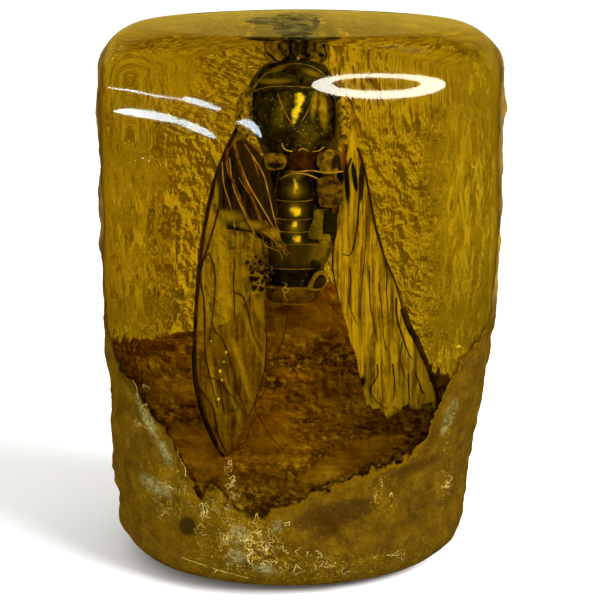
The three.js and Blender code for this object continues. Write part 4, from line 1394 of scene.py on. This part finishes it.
def makeInclusions(n):
    rng = np.random.default_rng(81)
    for name, paths in (("long_hair", n["hair"]), ("pale_loops", n["paleLoops"])):
        shapes = [tube(smoothCurve(path, 12 * len(path)), radius, 6) for radius, path in paths]
        castPiece(name, joinShapes(shapes), hornySkin(name + "_skin"))
    castPiece("gold_fibres", joinShapes(fibreShapes(n["fibres"], rng)), hornySkin("fibre_skin"))
    for name, shapes in zip(("black_crumbs", "crumb_rims"), crumbShapes(n["crumbs"], rng)):
        points, faces = joinShapes(shapes)
        points = points + 0.16 * layeredNoise(points, 0.3, 2, 82)[:, None]
        castPiece(name, (points, faces), hornySkin(name + "_skin"))
    # the gold flecks are painted glints: small bright beads
    glintFlecks = [ovalBall(np.array(middle), (half, half * 0.6, half * 1.5), 8, 10)
              for middle, half in n["glintFlecks"]]
    castPiece("painted_glint_flecks", joinShapes(glintFlecks), hornySkin("glint_fleck_skin"))
    # the bubbles are solid bright gold balls: their brightness is a painted reflection, in place of a
    # bubble's own
    bubbles = [ovalBall(np.array(middle), (half, half, half * 0.8), 16, 24) for middle, half in n["bubbles"]]
    castPiece("bubbles", joinShapes(bubbles), hornySkin("bubble_skin"))
    print("inclusions made")


makeInclusions(inclusions)


# Where each lamp's image lies on the front: x and z in millimetres, and half the width of a strip there
lamps = {
    "away": 200,
    "stripLight": {"colour": (0.72, 0.90, 1.0), "glow": 17},
    "ring": {"outerMiddle": (9.8, 68.0), "outerHalf": (8.36, 1.55), "innerMiddle": (9.43, 68.25),
             "innerHalf": (5.52, 0.83), "tilt": -0.04, "colour": (1.0, 0.97, 0.84), "glow": 19},
    "strips": [
        [(-24.6, 66.25, 0.02), (-21.5, 66.5, 0.08), (-18.0, 66.3, 0.10), (-14.4, 66.1, 0.06)],
        [(-14.6, 66.2, 0.05), (-14.0, 66.15, 0.34), (-12.0, 65.75, 0.36), (-10.2, 65.25, 0.22),
         (-9.6, 65.05, 0.02)],
        [(-23.8, 63.4, 0.05), (-21.8, 63.75, 0.40), (-18.8, 63.8, 0.50), (-16.0, 63.55, 0.45),
         (-15.1, 63.3, 0.28), (-14.2, 63.1, 0.46), (-12.4, 62.5, 0.48), (-11.0, 61.9, 0.34),
         (-10.3, 61.5, 0.03)],
        [(-7.9, 63.65, 0.03), (-6.8, 63.6, 0.42), (-5.8, 63.1, 0.62), (-5.0, 62.4, 0.45),
         (-4.7, 61.85, 0.05)],
    ],
}


# A lamp stands where the camera's line of sight v goes after the mirror: v - 2(v.n)n, followed for "away"
# millimetres
def lampPoint(b, view, x, z, away):
    place, facing = frontPoint(b, x, z)
    sight = place - np.array(view["place"])
    sight /= np.linalg.norm(sight, axis=-1, keepdims=True)
    return place + away * (sight - 2 * (sight * facing).sum(-1, keepdims=True) * facing)


# A glowing sheet that only mirrors see
def placeLamp(name, points, faces, light):
    glow, _, shader = newMaterial(name + "_glow")
    shader.inputs["Base Color"].default_value = (0, 0, 0, 1)
    shader.inputs["Emission Color"].default_value = (*light["colour"], 1)
    shader.inputs["Emission Strength"].default_value = light["glow"]
    lamp = makePiece(name, points, faces, glow)
    for ray in ("camera", "diffuse", "transmission", "shadow", "volume_scatter"):
        setattr(lamp, "visible_" + ray, False)


def makeLamps(a, b, view):
    ring = a["ring"]
    turn = np.linspace(0, 2 * math.pi, 97)[:-1]
    loops = []
    for middle, half in ((ring["outerMiddle"], ring["outerHalf"]), (ring["innerMiddle"], ring["innerHalf"])):
        x = middle[0] + half[0] * np.cos(turn)
        z = middle[1] + half[1] * np.sin(turn) + ring["tilt"] * (x - middle[0])
        loops.append(lampPoint(b, view, x, z, a["away"]))
    placeLamp("mirrored_ring", np.vstack(loops), gridQuads(2, 96, True).tolist(), ring)
    shapes = []
    for strip in a["strips"]:
        x, z, half = smoothCurve(strip, 48).T
        sides = [lampPoint(b, view, x, z + sign * half, a["away"]) for sign in (1, -1)]
        shapes.append((np.vstack(sides), gridQuads(2, 48, False).tolist()))
    placeLamp("mirrored_strips", *joinShapes(shapes), a["stripLight"])
    print("mirrored lamps set")


makeLamps(lamps, block, cameraView)


studio = {
    "floorSize": 6000, "floorColour": (0.96, 0.96, 0.96),
    "skyBrightness": 1.95, "cardColour": (1.0, 0.68, 0.08), "cardBrightness": 0.55,
    "cardHalfWidth": 1200, "cardAway": 900, "cardFoot": 20, "cardTop": 900,
    "keyPlace": (380, -260, 400), "keySize": 380, "keyWatts": 8,
}


# A round lamp that shines from its place towards a target, and isn't mirrored
def addAreaLight(name, place, target, size, watts):
    light = bpy.data.lights.new(name, "AREA")
    light.shape = "DISK"
    light.size = size * mm
    light.energy = watts
    holder = bpy.data.objects.new(name, light)
    holder.location = np.array(place) * mm
    ahead = Vector(np.array(target, float) - np.array(place, float))
    holder.rotation_euler = ahead.to_track_quat("-Z", "Y").to_euler()
    bpy.context.scene.collection.objects.link(holder)
    holder.visible_glossy = False


def addStudio(s):
    material, tree, shader = newMaterial("pale_floor")
    grain = noisePattern(tree, stretchedPlace(tree), 60)
    darker = tuple(0.98 * c for c in s["floorColour"])
    shade = colourRamp(tree, grain, [(0.3, s["floorColour"]), (0.7, darker)])
    tree.links.new(shade, shader.inputs["Base Color"])
    shader.inputs["Roughness"].default_value = 0.9
    half = s["floorSize"] / 2
    corners = [(-half, -half, 0), (half, -half, 0), (half, half, 0), (-half, half, 0)]
    floor = makePiece("floor", corners, [(0, 1, 2, 3)], material)
    floor.visible_glossy = False
    world = bpy.data.worlds.new("studio")
    world.use_nodes = True
    sky = world.node_tree
    direction = addNode(sky, "TexCoord").outputs["Generated"]
    height = addNode(sky, "SeparateXYZ", {"Vector": direction}).outputs["Z"]
    shade = colourRamp(sky, height, [(0.0, (1, 1, 1)), (0.1, (1, 1, 1)), (0.5, (0.35, 0.35, 0.35)),
                                     (1.0, (0.6, 0.6, 0.6))])
    sky.links.new(shade, sky.nodes["Background"].inputs["Color"])
    world.node_tree.nodes["Background"].inputs["Strength"].default_value = s["skyBrightness"]
    bpy.context.scene.world = world
    world.cycles_visibility.glossy = False
    world.cycles.sampling_method = "NONE"
    wide, far, low, high = s["cardHalfWidth"], s["cardAway"], s["cardFoot"], s["cardTop"]
    corners = [(-wide, far, low), (wide, far, low), (wide, far, high), (-wide, far, high)]
    placeLamp("back_card", corners, [(0, 1, 2, 3)], {"colour": s["cardColour"], "glow": s["cardBrightness"]})
    addAreaLight("key", s["keyPlace"], (0, 0, 30), s["keySize"], s["keyWatts"])
    print("floor and lights set")


addStudio(studio)

scene = bpy.context.scene
scene.view_settings.view_transform = "Standard"
scene.cycles.use_denoising = True
scene.cycles.max_bounces = 24
scene.cycles.transmission_bounces = 20
scene.cycles.glossy_bounces = 12
scene.cycles.diffuse_bounces = 4
scene.cycles.transparent_max_bounces = 24
